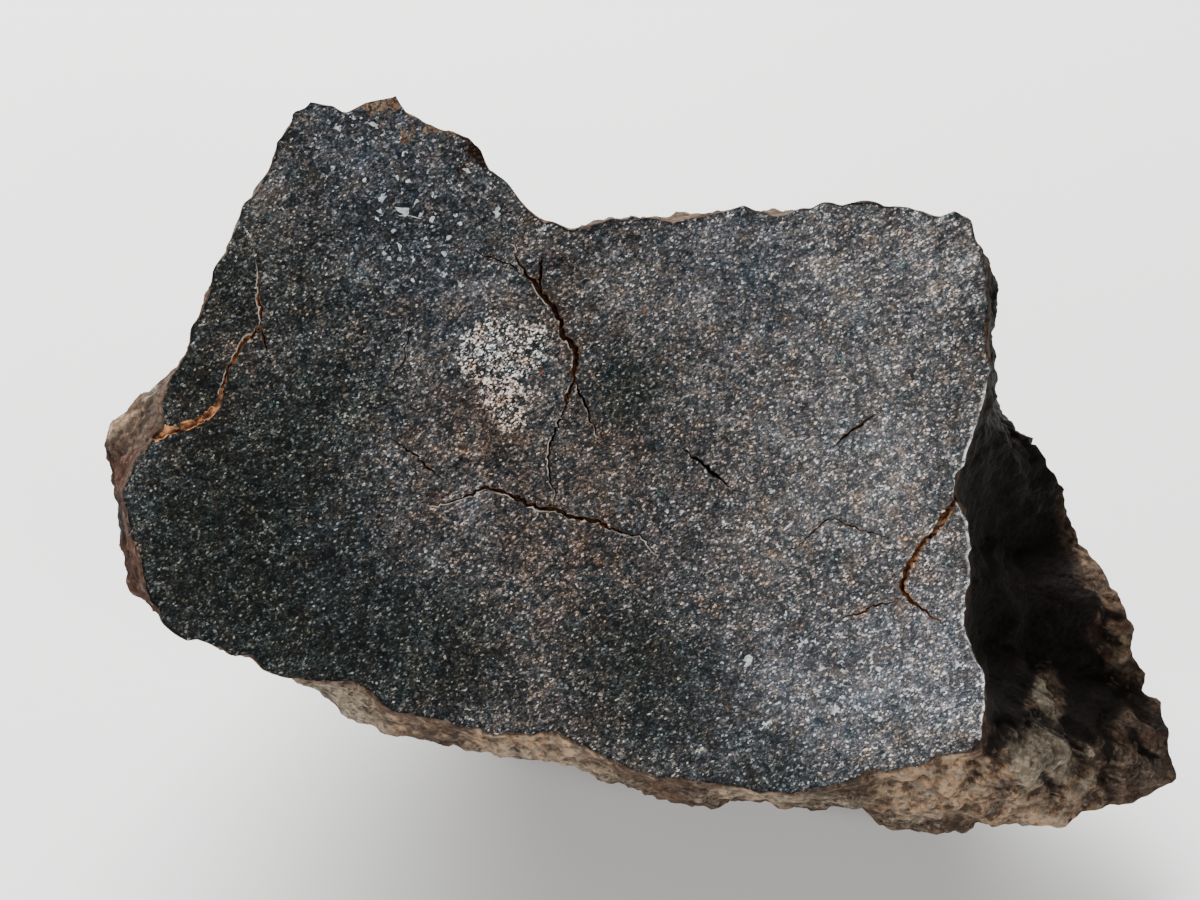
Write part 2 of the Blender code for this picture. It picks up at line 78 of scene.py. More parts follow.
# Outline of the sawn face, (u, v), clockwise from the peak at the upper left.
FACE_OUTLINE = (
    (-21.8, 26.2), (-20.1, 25.9), (-19.2, 25.3), (-18.3, 26.1), (-15.4, 26.7), (-14.8, 25.7),
    (-13.4, 24.8), (-11.4, 24.1), (-9.9, 23.6), (-8.9, 22.4), (-8.4, 21.1), (-7.5, 20.7),
    (-6.6, 19.6), (-5.3, 17.9), (-4.1, 17.2), (-2, 16.8), (-0.1, 17.1), (2.4, 17.6),
    (4.1, 17.5), (5.5, 17.2), (8, 17.8), (10.8, 18.4), (12.6, 17.8), (13.8, 17.7),
    (14.9, 18.1), (16, 18.2), (16.9, 18.8), (18.2, 18.4), (19.6, 18.7), (21.2, 18.5),
    (22.5, 18.4), (23.6, 18.1), (24.5, 17.8), (25.5, 17.6), (26.7, 18), (27.9, 17.6),
    (28.5, 15.8), (29.2, 13.7), (29.3, 11.7), (29.4, 9.9), (29.1, 7.5), (29.6, 6.1),
    (29, 3.5), (28.3, 1.3), (27.7, -0.6), (26.9, -2.1), (26.7, -3.5), (27.3, -4.2),
    (27.7, -5.6), (28.1, -7.4), (28, -9.7), (27.5, -11.6), (27.7, -14.3), (28.5, -16.1),
    (29.1, -17.6), (29, -19.3), (28.8, -21.4), (28.3, -22.7), (26.8, -22.9), (25.4, -23),
    (23.9, -23.9), (22.2, -24.2), (20.1, -24.2), (18.1, -25.2), (15.9, -25.8), (14.2, -25.9),
    (12, -25.8), (9.6, -25.2), (6.1, -25), (4.1, -24.7), (2.3, -24), (0.7, -23.5),
    (-0.5, -22.9), (-1.6, -22.1), (-3.2, -21.5), (-5, -21.6), (-7.4, -21.5), (-9.3, -21.1),
    (-11.2, -20.8), (-13.1, -20.2), (-15.3, -19.8), (-16.5, -19.1), (-17.6, -18.1),
    (-18.8, -17.5), (-20.9, -17.4), (-22.8, -17.2), (-24, -17.1), (-25.3, -16.6),
    (-26.5, -15.5), (-27.6, -15.4), (-29, -14.9), (-30.3, -14.2), (-31.1, -14.4),
    (-31.9, -13.9), (-33, -13.1), (-33.6, -12.1), (-34, -11), (-34.6, -9),
    (-35, -6.9), (-36, -5.2), (-35.9, -3.2), (-35.3, -1.5), (-34.3, 0), (-32.9, 1.7),
    (-33.1, 3.5), (-32.5, 5.4), (-31.6, 6.8), (-31, 7.5), (-30.7, 9.4), (-29.6, 11.5),
    (-28.9, 14), (-27.7, 16.3), (-26.9, 18.2), (-25.5, 19.7), (-24.8, 21.7), (-24.2, 23),
    (-23.1, 25.2),
)

# Widest section behind the face, (u, v, w), with u and v as seen square on from VIEW_DISTANCE.
VIEW_DISTANCE = 220.0
WIDEST_SECTION = (
    (-30, 8, 4), (-26.2, 15.6, 8), (-23.2, 21.6, 9), (-19, 24.2, 9),
    (-13, 23, 9), (-8.4, 19.2, 9), (-3.5, 15.2, 9), (4, 15.7, 9), (12, 16.2, 9),
    (20, 16.8, 9), (26.6, 16.6, 8), (28.9, 15.4, 5), (29.9, 13.2, 4), (30.1, 9.9, 4),
    (30, 6.7, 4.5), (30.2, 3.2, 6), (31.1, 2.2, 7), (32.8, 0.5, 7.6), (34.1, -1.2, 8),
    (35.2, -2.7, 9), (35.6, -4.4, 10.4), (36.2, -5.9, 11.4), (36.8, -7.5, 11.4),
    (37.6, -9.3, 10.6), (38.5, -10.1, 9.8), (39.5, -11.6, 9.4), (40.4, -13, 9.4),
    (40.6, -13.9, 9.8), (40.4, -15.3, 10.6), (40.8, -16.7, 12), (40.8, -18, 12.6),
    (41.6, -18.8, 12.2), (42.2, -20.1, 11), (42.7, -22, 10.4), (42.9, -23.3, 10.4),
    (42.7, -24.6, 11), (41.6, -25.6, 11.8), (40.1, -26.4, 12), (38.3, -27, 11),
    (36.7, -27.6, 10), (35.3, -28, 9.6), (33.4, -28.3, 9.8), (30.4, -28.4, 10.2),
    (28.5, -28, 9.2), (26.7, -28.5, 10), (25.2, -28.2, 9), (22.6, -28.2, 9),
    (20.7, -27.8, 9), (19.4, -26.7, 8), (17.3, -26.9, 8), (15.7, -27, 7),
    (13.2, -26.5, 7), (10.7, -26.7, 7), (9, -27.1, 7), (6.1, -26.9, 7),
    (4.5, -26.5, 7), (3, -25.8, 7), (0.7, -25.5, 7), (-0.5, -25, 7),
    (-2, -24.2, 6), (-5.6, -23.4, 6), (-8, -22.8, 6), (-10.3, -22.1, 6),
    (-11.7, -22.4, 6), (-13.4, -22.1, 6), (-16.1, -21.2, 6), (-19.7, -19.4, 5),
    (-22.1, -17.7, 4), (-25, -16.2, 4), (-30, -13.8, 4), (-33.6, -12.1, 3),
    (-35.2, -10.5, 3), (-35.4, -9, 3), (-35.7, -6.3, 3), (-35.9, -3.6, 3.5),
    (-36.3, -2.3, 4), (-36.4, -0.9, 4.5), (-37, 0.2, 5), (-36.2, 1.7, 4.5),
    (-35.3, 3.3, 4), (-33.8, 4.7, 3), (-32.4, 5.6, 2.5),
)

# How the flank reaches that section, (angle in degrees, power): more than 1 is a hollow that flares.
FLANK_BOWS = (
    (-180, 0.8), (-60, 0.8), (-34, 0.85), (-27, 1.1), (-22, 3), (-6, 3), (6, 1.8),
    (20, 1), (180, 0.8),
)
CENTRE = (-2.0, -3.0)         # of the loft's sections, (u, v)
BACK_TIP = (-3.0, -8.0)
STONE_DEPTH = 30.0
CORE = Vector((2.0, -5.0, 9.0))    # inside the stone; roughness and flats move points along lines from it

# Broken flats on the back: (angle round w, lean from w, how much has broken off).
BACK_FLATS = (
    (8, 60, 4.2), (46, 72, 2.6), (84, 56, 4), (122, 70, 2.4), (158, 58, 4.2),
    (196, 68, 3), (236, 66, 2.6), (312, 46, 6.2), (334, 62, 5.2), (290, 74, 1.6),
    (28, 32, 3.2), (98, 24, 3.2), (180, 30, 3.4),
)
FLAT_SOFTNESS = 0.012

# Knobs, ridges and hollows of the outside: start (u, v, w), end (u, v, w), radius, height.
KNOBS = (
    ((31.4, -22.6, 2.6), (34.6, -22.4, 4), 2.4, 2.2),
    ((41, -21, 8.6), (41, -24, 8.8), 2.2, 1.5),
    ((37.4, -11.4, 9.4), (38.8, -15.6, 10.4), 1.8, 1.6),
    ((30.4, 0.8, 5), (33.6, -5, 8.6), 1.2, 1),
    ((31.4, -12.4, 6.6), (34, -18.4, 6.6), 1.1, 1.2),
    ((37.6, -17.6, 8.4), (37.8, -25, 6.4), 1, -2),
    ((35, -8, 9), (36.4, -17, 9.6), 1.8, -2.2),
    ((40.2, -17.6, 10.6), (41.4, -18.2, 11), 1, -1.1),
    ((29.8, 17.2, 2), (30.2, 12, 2.2), 2, 0.9),
    ((4, -27, 11), (8, -27.4, 11), 3, 0.9),
    ((-15, -21, 13), (-11, -22, 13), 2.8, -1),
    ((19, -28, 10), (19, -25, 15), 2.2, -1.1),
    ((-36.6, 0.6, 4.5), (-35.4, 3.2, 4), 1.8, 0.4),
    ((-30, -4, 14), (-26, 4, 19), 4, 1.5),
    ((-24, 16, 14), (-18, 11, 22), 4, -1.7),
    ((6, 16, 16), (14, 13, 20), 4, 1.3),
    ((25, 12, 13), (22, 8, 22), 3.6, -1.6),
    ((-12, -18, 20), (-8, -16, 25), 3.6, -1.3),
    ((31, -13, 22), (24, -16, 27), 4, 1.3),
    ((-6, 12, 24), (0, 8, 29), 3.6, -1.4),
    ((14, 2, 31), (20, 4, 28), 3.2, 1.1),
    ((-2, -14, 25), (3, -14, 25), 9, 2.4),
)

KNOB_SPAN = 12.0    # no knob is longer

# Roughness of the outside: (wavelength, height).
WAVES = ((22.0, 1.6), (4.2, 0.3))
KNUCKLES = ((13.0, 3.2), (6.0, 1.5))
KNUCKLE_MEAN = 0.24
NOISE_PLACE = Vector((7.3, 3.1, 11.7))
ROUGH_FROM = 2.6
FLANK_ROUGHNESS = (
    (-180, 0.3), (-60, 0.35), (-20, 0.5), (0, 0.4), (30, 0.4), (50, 0.5), (130, 0.5),
    (155, 0.3), (180, 0.3),
)
EDGE_DETAIL_DEPTH = 1.6       # how far down the flank the shape of the face edge fades
SMOOTHING = (0.16, 0.1, 0.06)    # radians that the edge, the widest section and its depth are averaged over
MEASURE_STEPS = 480
ANGLES = [TURN * k / MEASURE_STEPS - math.pi for k in range(MEASURE_STEPS + 1)]
PROFILE_STEPS = 40

# Lengths of the flank and the back that set the number of their rings, closer together near the face.
FLANK_RUN = 16.0
BACK_RUN = 40.0
RING_CROWDING = 1.15

# Worn edge of the face: its usual width, and how far its chips reach.
EDGE_WEAR = 0.1
EDGE_CHIPS = 0.55
EDGE_CHIP_LENGTH = 1.9
EDGE_TOOTH_LENGTH = 0.6
CHIPS_FROM = 0.18
EDGE_RAGGEDNESS = ((1.6, 0.34), (0.7, 0.2))    # (wavelength, height) of the broken edge

# Cracks in the face: (width, depth, share of tan filling, side of the pale lip, points as u, v).
CRACKS = {
    "upper": (0.42, 0.55, 0.1, -1, (
        (-6.6, 15.5), (-6, 14), (-5.4, 13), (-4.5, 12), (-3.5, 10.9), (-2.9, 9.4),
        (-2.6, 8.4), (-1.8, 7.8), (-1.8, 6.8), (-2, 5.2), (-2.5, 3.8), (-2.8, 2.7))),
    "upper_foot": (0.16, 0.4, 0.1, -1, (
        (-2.1, 5), (-2.5, 3.8), (-2.8, 2.7), (-3.5, 1), (-3.9, -0.4), (-3.8, -2.5), (-3.3, -3.2),
        (-3.5, -4.4))),
    "upper_spur": (0.24, 0.5, 0.1, 0, ((-4.6, 14.7), (-4.4, 13.4), (-4.5, 12.4), (-4.3, 11.6))),
    "upper_branch": (0.2, 0.5, 0, -1, (
        (-2, 5.8), (-1.8, 5), (-1.1, 3.5), (-0.7, 2.1), (-0.2, 1))),
    "lower": (0.28, 0.5, 0.15, -1, (
        (-13, -4.1), (-11.6, -4), (-10.2, -3.5), (-8.7, -2.9), (-7.2, -3.2), (-6.4, -3.7),
        (-5, -4.1), (-3.5, -4.6), (-2, -5), (-0.5, -5.3), (0.9, -5.9), (1.7, -6.2),
        (3, -6.4), (3.8, -7.3), (4.4, -8.1))),
    "left_of_middle": (0.2, 0.5, 0.2, 0, ((-16.1, 1.2), (-14.4, -0.2), (-13.3, -1.1), (-11.7, -2.3))),
    "middle": (0.3, 0.9, 0, 0, ((6.1, 0.2), (7.8, -1.1), (9, -2.1), (9.9, -2.9))),
    "right_of_middle": (0.22, 0.5, 0.1, 0, ((17.5, 0.2), (18.8, 1.3), (20.7, 2.7))),
    "right": (0.4, 0.6, 0.45, 0, (
        (28.4, -0.7), (27.3, -1.8), (26.8, -3.5), (26.4, -4.4), (25.2, -6.3), (24.3, -6.9),
        (23.6, -8), (22.9, -9.6), (22.8, -10.5), (23.4, -11.4), (24.5, -12.2), (25.6, -12.9),
        (26, -13.3))),
    "right_hairline": (0.14, 0.3, 0.3, 0, ((22.8, -11.3), (20.6, -11.8), (17.3, -13.2))),
    "far_right_hairline": (0.14, 0.3, 0.4, 0, (
        (13.1, -7.5), (14.8, -7.4), (16.2, -6), (17.3, -5.1), (18.4, -5.6), (19.9, -6.1), (22.1, -6.8))),
    "left_above": (0.26, 0.45, 0.8, -1, (
        (-25.9, 14.1), (-25.7, 11.5), (-25.5, 9.6), (-25.9, 9), (-26.9, 8.1), (-27.6, 6.8),
        (-28.5, 4.8), (-28.5, 4.1), (-28.8, 3.3))),
    "left": (0.62, 0.45, 1, 0, (
        (-28.4, 4.9), (-28.6, 4), (-28.9, 3.1), (-29.9, 2.4), (-31.2, 1.8), (-32.4, 1.3),
        (-34, 0.7), (-36.4, 0.2))),
    "left_spur": (0.22, 0.5, 0.4, 0, ((-25.5, 9.4), (-25.5, 8.7), (-24.9, 7.3))),
    "top_hairline": (0.12, 0.3, 0.2, 0, ((-9.8, 15.1), (-7.4, 14.2), (-5.4, 13))),
    "inner_hairline": (0.1, 0.25, 0.2, 0, (
        (-13.8, 10.8), (-14.5, 8.2), (-14.7, 6.9), (-15.4, 5.9), (-15.5, 4.4))),
}
FILLED_DEPTH = 0.02    # facets deeper than this have the cracks' filling
CRACK_STEP = 0.2
CRACK_WANDER = 0.2
CRACK_LIP = 0.17
CRACK_STEEPNESS = 1.7
CRACK_REACH = 1.0    # how far down the flank a crack may still show
# Lines that the mesh follows along a crack: (side, as a share of half its width, and how far beyond).
CRACK_LINES = (
    (-1.0, 0.0), (-0.5, 0.0), (0.0, 0.0), (0.5, 0.0), (1.0, 0.0), (-1.0, CRACK_LIP), (1.0, CRACK_LIP))

# Soft patches of the face: (u, v, radius, share) for each quality that the finish reads.
PATCH_REACH = 2.2    # radii past which a patch has faded
FACE_PATCHES = {
    # Where the metal grains are coarse and crowded.
    "coarse": (
        (-7.6, 7.6, 2.5, 1), (-5.2, 7.9, 1.6, 0.9), (-9.8, 6.9, 1.3, 0.8), (-7.6, 4.4, 1.7, 0.9),
        (-6.6, 2.5, 1.4, 0.9),
    ),
    # Brown stain round weathered metal.
    "rust": (
        (-8, -1, 5.5, 0.7), (-9.5, 2.5, 3.5, 0.8), (-2, -9, 6, 0.7), (-3.6, 11, 1.8, 0.8),
        (-3, 8, 1.5, 0.8), (8, -5, 5, 0.35), (24, -8, 3, 0.4), (-24, 17, 4, 0.4),
        (-27, 8, 3.5, 0.5), (-30, 2, 3.5, 0.7), (-13, 21, 3, 0.5), (-8.6, -16, 4, 0.35),
        (0, -2, 4, 0.5), (7, 9, 5, 0.25), (20, -13, 5, 0.35), (-1, -20, 3.5, 0.4),
        (2, 0.5, 3, 0.5), (-13.5, -5.5, 3.5, 0.5),
    ),
    # Dark blue-green areas with few grains; the lower left is also kept dark as painted shade, the side of
    # the face that catches no sheen.
    "dark": (
        (-27, -8, 9, 1), (-20, -13, 7, 0.9), (-24, 0, 5, 0.7), (-12, -15, 5, 0.6),
        (-13, 17, 5.5, 0.2), (-20, 21, 4.5, 0.15), (2, 5, 3, 0.4), (4, -18, 5.5, 0.55),
        (-19, 4, 4, 0.45), (12, -24, 3.5, 0.5), (-28.5, 14, 3.5, 0.4), (-21.5, 12, 6, 0.4),
        (-30, -4, 5, 0.4), (0.5, -14, 4, 0.35), (1.5, 4, 2, 0.4), (-30.8, 5, 3.2, 0.85),
        (-28.6, 10.5, 3, 0.45),
    ),
    # Paler, greyer areas: partly the stone's own tone, partly a painted sheen of light on the polish,
    # strongest on the right.
    "bright": (
        (24, -17, 7.5, 0.9), (16, -18, 6.5, 0.7), (20, -1, 9.5, 0.95), (22, 11, 7, 0.6),
        (10, 10, 8, 0.55), (26, -8, 4, 0.6), (12, -10, 5, 0.4), (-25, 18, 3, 0.4),
    ),
    # Smooth bluish areas.
    "cool": (
        (-16, 21, 7, 0.9), (-13, 13, 5, 0.6), (-10, -3.4, 2, 0.7), (6, -7.5, 4, 0.35),
        (10, 14, 7, 0.5), (22, 12, 6, 0.3), (14, -20, 8, 0.6), (-18, -9, 6, 0.5),
        (24, -16, 7, 0.65), (20, -2, 8, 0.3),
    ),
    # Where the lapping lines show most.
    "lapped": (
        (26, 15, 4.5, 1), (18, 15.5, 4, 0.6), (24, -20, 5, 0.3), (-10, -3.3, 2, 0.9),
        (-12, -8, 3, 0.4),
    ),
    # Where small pale flecks are scattered.
    "flecked": (
        (-17.5, 22, 5, 0.7), (-14.4, 15.6, 4.5, 1), (-10, 20, 3.5, 0.5), (17, -16.6, 5.5, 0.9),
        (24, -18, 4.5, 0.7), (11, -5, 3, 0.5), (6.2, -4.8, 1.6, 1),
    ),
    # Crust that the saw left on the face.
    "crusted": (
        (-17, 26.4, 1.2, 1), (-15.4, 26.7, 1, 1), (-12.6, 24.5, 0.7, 1), (-11.3, 24, 0.5, 0.9),
        (-35.2, -7.6, 0.9, 0.7), (-14.5, 23.7, 0.8, 0.75),
    ),
    # Edge that has crumbled away, dark with old rust.
    "crumbled": (
        (-9.2, 22.9, 0.9, 1), (-8.5, 21.8, 0.7, 1), (-10.4, 21.4, 0.4, 0.8), (-14.3, 23.2, 0.5, 0.6),
        (28.5, -22.4, 0.8, 0.7), (27, -23, 0.5, 0.6),
    ),
}

# Stretches of the face edge with a painted glint, where the rounded edge would catch the light, and dark
# ones: (u, v, radius, share).
EDGE_BAND = 0.26
PAINTED_EDGE_GLINTS = (
    (28.9, -18.4, 2.8, 1), (27.6, -12, 2.6, 0.95), (27.8, -6, 2.2, 0.6), (27.2, -1, 2.6, 0.7),
    (29, 3.4, 2, 0.3),
)
DARK_EDGES = (
    (-3.5, 17.2, 3, 1), (6, 17.8, 6, 0.6), (20, 18.6, 8, 0.8), (29, 13, 4, 0.9),
    (-9.5, 22.5, 3, 0.9), (-24, 22, 5, 0.6), (-30, 9, 4, 0.7), (-34.5, -9, 6, 0.9),
    (0, -23, 7, 0.6), (14, -26, 8, 0.7), (-16, -19.5, 7, 0.5),
)

# Flecks of metal large enough to see as grains: (u, v, length, breadth, turn in degrees).
METAL_FLECKS = (
    (-14.5, 17.7, 2.3, 1, -22), (-14.4, 20.2, 0.7, 0.5, 10), (-16.3, 19.1, 0.9, 0.6, 40),
    (-19.7, 24.2, 0.8, 0.6, 20), (-16.9, 24.4, 1, 0.7, -30), (-16.3, 23.8, 0.6, 0.5, 60),
    (-9.9, 21, 1, 0.6, -10), (-7.8, 17.9, 0.9, 0.6, 70), (-15.6, 16.6, 0.6, 0.4, 0),
    (-15, 15.3, 0.5, 0.9, 15), (-14.1, 14.4, 0.4, 0.8, 0), (-13.2, 15.9, 0.5, 0.4, 30),
    (-16.8, 17.4, 0.5, 0.4, 0), (-12.6, 19.2, 0.5, 0.4, 45), (-11.7, 13.2, 0.5, 0.4, 80),
    (11.1, -15.9, 1, 0.65, 60), (15.3, -14.5, 1, 0.7, 30), (17.2, -14.7, 0.8, 0.7, 80),
    (16.2, -14.3, 0.4, 0.7, 10), (16.6, -16.4, 0.8, 0.5, 0), (17.8, -19.4, 0.5, 0.9, -10),
    (16.4, -18.4, 0.6, 0.4, 30), (27, -16.2, 0.7, 0.9, 20), (12.4, -20.7, 1.3, 0.5, 40),
    (14, -12.3, 0.5, 0.5, 0), (17.5, -12.1, 0.5, 0.4, 0), (19.7, -16, 0.5, 0.6, 0),
    (18.2, -17.7, 0.4, 0.5, 0), (22.6, -15.1, 0.5, 0.4, 0), (21, -20.2, 0.5, 0.5, 0),
    (13.4, -19, 0.5, 0.4, 10), (24.4, -19.2, 0.5, 0.4, 50), (12.9, -3.1, 0.5, 0.4, 20),
    (9.4, -5.5, 0.6, 0.5, 0), (11.6, -5.9, 0.6, 0.5, 40), (18.3, 7.3, 0.4, 0.4, 0),
    (24, -1.7, 0.4, 0.4, 0), (21.1, -3.2, 0.4, 0.4, 0), (6.2, -4.7, 0.5, 0.4, 0),
    (6.9, -5.2, 0.4, 0.5, 20), (5.5, -5.3, 0.5, 0.3, 0), (7.2, -4.4, 0.3, 0.4, 0),
    (5, -4.6, 0.3, 0.4, 60), (25.6, -17.4, 0.4, 0.6, 0), (19, -11.2, 0.4, 0.3, 30),
    (15, -17, 0.4, 0.4, 0), (21.8, -17.8, 0.4, 0.5, 10), (-10.6, 12.6, 0.3, 0.8, 10),
    (-9.4, -0.4, 0.5, 0.3, 30), (-10.4, -2.8, 0.8, 0.2, 32), (-11.2, -3.6, 0.9, 0.2, 30),
    (-9.2, -3.4, 0.6, 0.2, 34),
)
FLECK_REACH = 3.0      # no fleck reaches further sideways from its first corner
SULPHIDE_FLECKS = ((7.5, -22.6, 1.0, 0.8, 15.0), (-26.4, 16.2, 0.5, 0.4, 0.0), (5.0, -13.0, 0.5, 0.4, 30.0))
RUST_FLECKS = (
    (9.6, -19.4, 0.5, 0.7, 0), (3.4, 10.6, 0.4, 0.4, 0),
    (-4.4, 5.8, 0.5, 0.4, 0),
)

# Where the outside is not plain brown crust: (u, v, w, radius, share).
CRUST_PATCHES = {
    # Black varnish, and painted shadow on the right flank below the face's edge.
    "varnish_and_painted_shade": (
        (30, 3, 4, 5, 0.9), (31.5, -4, 6, 5.5, 1), (32, -10, 6, 6, 1),
        (33.4, -8, 8, 3.8, 0.9), (30, 12, 4, 5, 0.6), (-2, 17, 3, 4, 0.4),
        (-36, -5, 3, 3.4, 0.45),
    ),
    # Tan and orange soil left in the hollows.
    "soil": (
        (25, -25, 3, 5, 0.9), (34, -27.5, 8, 5, 0.7), (12, -26, 3.5, 5, 0.6),
        (-5, -22.5, 3, 7, 0.5), (-16, -20, 3, 4, 0.35), (-35, -6, 2, 4, 0.3),
        (-13, 24.8, 1.5, 3, 0.8), (-36, 2.4, 4, 2.6, 0.5), (-16, -6, 26, 9, 0.5),
        (20, -12, 26, 8, 0.5),
    ),
    # Dark reddish-brown iron stain.
    "iron": (
        (-35.6, -7, 3, 5, 1), (-34, -12, 3, 3.6, 0.9), (-36.2, -2.4, 3, 2.6, 0.9),
        (-30.5, 10, 2, 3, 0.8), (-4, 17, 2, 3, 0.7), (20, 18, 2, 6, 0.4),
        (28.6, -12, 1.5, 4, 0.7), (-13, 20, 18, 6, 0.4), (-35.6, 4.2, 3.5, 1.6, 0.5),
        (-33.4, 1, 1, 1.1, 0.9), (-34.4, -0.6, 1.4, 1.3, 0.9),
    ),
    # Pale grey-tan grains of the bare rock.
    "pale": (
        (-36.8, 2.2, 4, 1.5, 0.3), (-34.4, 4.4, 3, 0.9, 0.8), (0, -25.5, 5, 4, 0.4),
        (11, -26, 3, 4.5, 0.45), (24, -28, 7, 3, 0.4), (17, -26.5, 4, 4, 0.4),
        (-20, -19, 4, 5, 0.5), (-7, -23, 5, 4, 0.4), (4, 10, 26, 7, 0.4),
    ),
}

# The same on the flank at the right, as seen square on: (u, v, radius, share).
SEEN_PATCHES = {
    # Black varnish, and painted shadow along the flank under the face's right edge.
    "varnish_and_painted_shade": (
        (30.6, -13.6, 3, 1), (34.6, -13.4, 2.2, 0.9), (30.8, -17, 1.9, 1), (30.4, -19.6, 1.4, 1),
        (36.4, -16.6, 1.9, 0.95), (36.8, -19.6, 1.7, 1), (36.7, -21.4, 0.9, 0.9), (35.6, -20.6, 0.8, 0.9),
        (38.4, -19, 1.5, 0.6), (42.2, -20.6, 1.3, 0.5), (42.6, -23.6, 1, 0.4), (36.6, -11.8, 1.2, 0.6),
    ),
    "soil": (
        (38.4, -12.4, 1.6, 0.5), (39.4, -14.8, 1.3, 0.5), (37.4, -10.6, 1.2, 0.4), (30.6, -23.6, 1.3, 0.8),
        (36.2, -7.6, 1.3, 0.4), (33.8, -26.4, 1.8, 0.5), (36.6, -26.8, 1.5, 0.8),
    ),
    "iron": ((38.6, -13, 2, 0.5), (37.6, -16.4, 1.4, 0.5), (40.6, -22, 2.4, 0.3)),
    "pale": (
        (31.8, -22.3, 1.5, 0.9), (33.7, -22, 1.5, 0.9), (34.6, -24, 1.6, 0.7), (32.4, -24.2, 1.5, 0.7),
        (33.1, -17.8, 0.7, 0.8), (33.6, -18.9, 0.7, 0.8), (34.2, -20, 0.5, 0.7), (36.8, -22.8, 0.6, 0.6),
        (40.4, -23.2, 1.9, 0.3), (39.4, -14.2, 0.8, 0.3),
    ),
}

# Crevices of the outside as seen square on: (radius, depth, points as seen u, v).
CREVICES = (
    (0.8, 1, ((29.6, -13.6), (30.4, -15.6), (30.7, -18.4), (30.2, -20.8), (29.6, -22.6))),
    (0.42, 1.3, ((30, -22.4), (31.2, -21), (32.8, -19.9), (34, -20.6), (35.4, -22), (36.7, -23.6))),
    (0.4, 0.9, ((35, -20.4), (35.4, -18.6), (36.8, -17.7), (38.6, -17))),
    (0.35, 0.8, ((31.6, -19.6), (32.2, -18.2), (32.4, -16.8))),
    (0.3, 0.6, ((40, -21), (40.6, -22.4), (41.8, -23.2))),
    (0.5, 1.2, ((38.2, -20), (38, -21.6), (38.6, -23.4), (38.2, -24.8))),
    (0.8, 1.2, ((39.4, -18.2), (40.4, -18.6), (41, -19.8))),
    (0.3, 0.6, ((37, -10.6), (37.9, -12.2), (38, -13.8), (39.4, -15))),
    (0.3, 0.5, ((37.9, -12.2), (39.3, -12.6))),
    (0.35, 0.6, ((31.8, -17.4), (33, -16.4), (34.4, -16))),
    (0.3, 0.5, ((33.4, -24.6), (34.4, -25.6), (34.2, -26.6))),
)
CREVICE_REACH = 14.0    # how deep behind the face the crevices go
CREVICE_SPAN = 10.0     # no crevice reaches further sideways from its first point

# Direction of the lapping lines on the face, in degrees from u towards v.
LAPPING_TURN = 32.0

# Grid of points inside the face: its corner (u, v), its size, and a row's height for points 1 apart.
GRID_CORNER = (-38.0, -28.0)
GRID_SIZE = (70.0, 60.0)
ROW_SHARE = 0.866
GRID_JITTER = 0.25
GRID_CLEARANCE = 0.45    # from edges, cracks and flecks, as a share of the step

# Texture map: the face takes the lower part at one scale, the outside a strip above it.
FACE_MAP_SCALE = 1.0 / 79.0
FACE_MAP_CORNER = (39.0, 27.0)
CRUST_MAP_SPLIT = 0.69
CRUST_MAP_FOOT = CRUST_MAP_SPLIT + 0.005
CRUST_MAP_TOP = 0.99
CRUST_MAP_ROUND = 1.01

CRUST_PART, FACE_PART, FILLING_PART, METAL_PART, SULPHIDE_PART, RUST_PART = range(6)
FLECKS = {METAL_PART: METAL_FLECKS, SULPHIDE_PART: SULPHIDE_FLECKS, RUST_PART: RUST_FLECKS}


class StoneSettings(PropertyGroup):
    """Sizes of the stone's mesh that a user would change."""

    point_step: FloatProperty(
        name="Crust step", description="Spacing of the points of the rough outside",
        default=0.00036, min=0.0002, unit="LENGTH")
    face_step: FloatProperty(
        name="Face step", description="Spacing of the points inside the sawn face",
        default=0.0009, min=0.0004, unit="LENGTH")
    crack_width: FloatProperty(
        name="Crack width", description="Scale of the width of every crack", default=1.0, subtype="FACTOR")


class CrustSettings(PropertyGroup):
    """Relief of the rough outside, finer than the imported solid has."""

    knuckle_size: FloatProperty(
        name="Knuckle size", description="Width of the rounded knuckles", default=0.0031, unit="LENGTH")
    knuckle_height: FloatProperty(
        name="Knuckle height", description="Height of the rounded knuckles", default=0.00062, unit="LENGTH")
    crumb_size: FloatProperty(
        name="Crumb size", description="Width of the crumbs of crust", default=0.00115, unit="LENGTH")
    crumb_height: FloatProperty(
        name="Crumb height", description="Height of the crumbs of crust", default=0.00024, unit="LENGTH")
    grit_size: FloatProperty(
        name="Grit size", description="Width of the finest grit", default=0.00055, unit="LENGTH")
    grit_height: FloatProperty(
        name="Grit height", description="Height of the finest grit", default=0.00012, unit="LENGTH")
    split_size: FloatProperty(
        name="Split spacing", description="Spacing of the fine splits in the crust",
        default=0.0062, unit="LENGTH")
    split_depth: FloatProperty(
        name="Split depth", description="Depth of the fine splits in the crust",
        default=0.00045, unit="LENGTH")
    seed: IntProperty(name="Seed", description="Place of the random relief", default=5)


class FinishSettings(PropertyGroup):
    """Colours of the stone."""

    silicate: FloatVectorProperty(
        name="Silicate", description="Middle grey of the polished silicate and its fine metal grains",
        subtype="COLOR", default=linear("#343639"))
    crust: FloatVectorProperty(
        name="Crust", description="Weathered brown outside", subtype="COLOR", default=linear("#4c3c30"))
    soil: FloatVectorProperty(
        name="Soil", description="Orange tan soil in the hollows", subtype="COLOR", default=linear("#94826f"))


def to_stone_frame(point):
    """A face-frame point in the stone's own frame, in metres."""
    u, v, w = point
    return (FACE_ORIGIN + AXIS_U * u + AXIS_V * v + AXIS_W * w) * MM


def smooth_step(value, start, end):
    share = min(1.0, max(0.0, (value - start) / (end - start)))
    return share * share * (3.0 - 2.0 * share)


def polar(u, v):
    """(angle, radius) of a point of the face plane about the loft's centre line."""
    return math.atan2(v - CENTRE[1], u - CENTRE[0]), math.hypot(u - CENTRE[0], v - CENTRE[1])


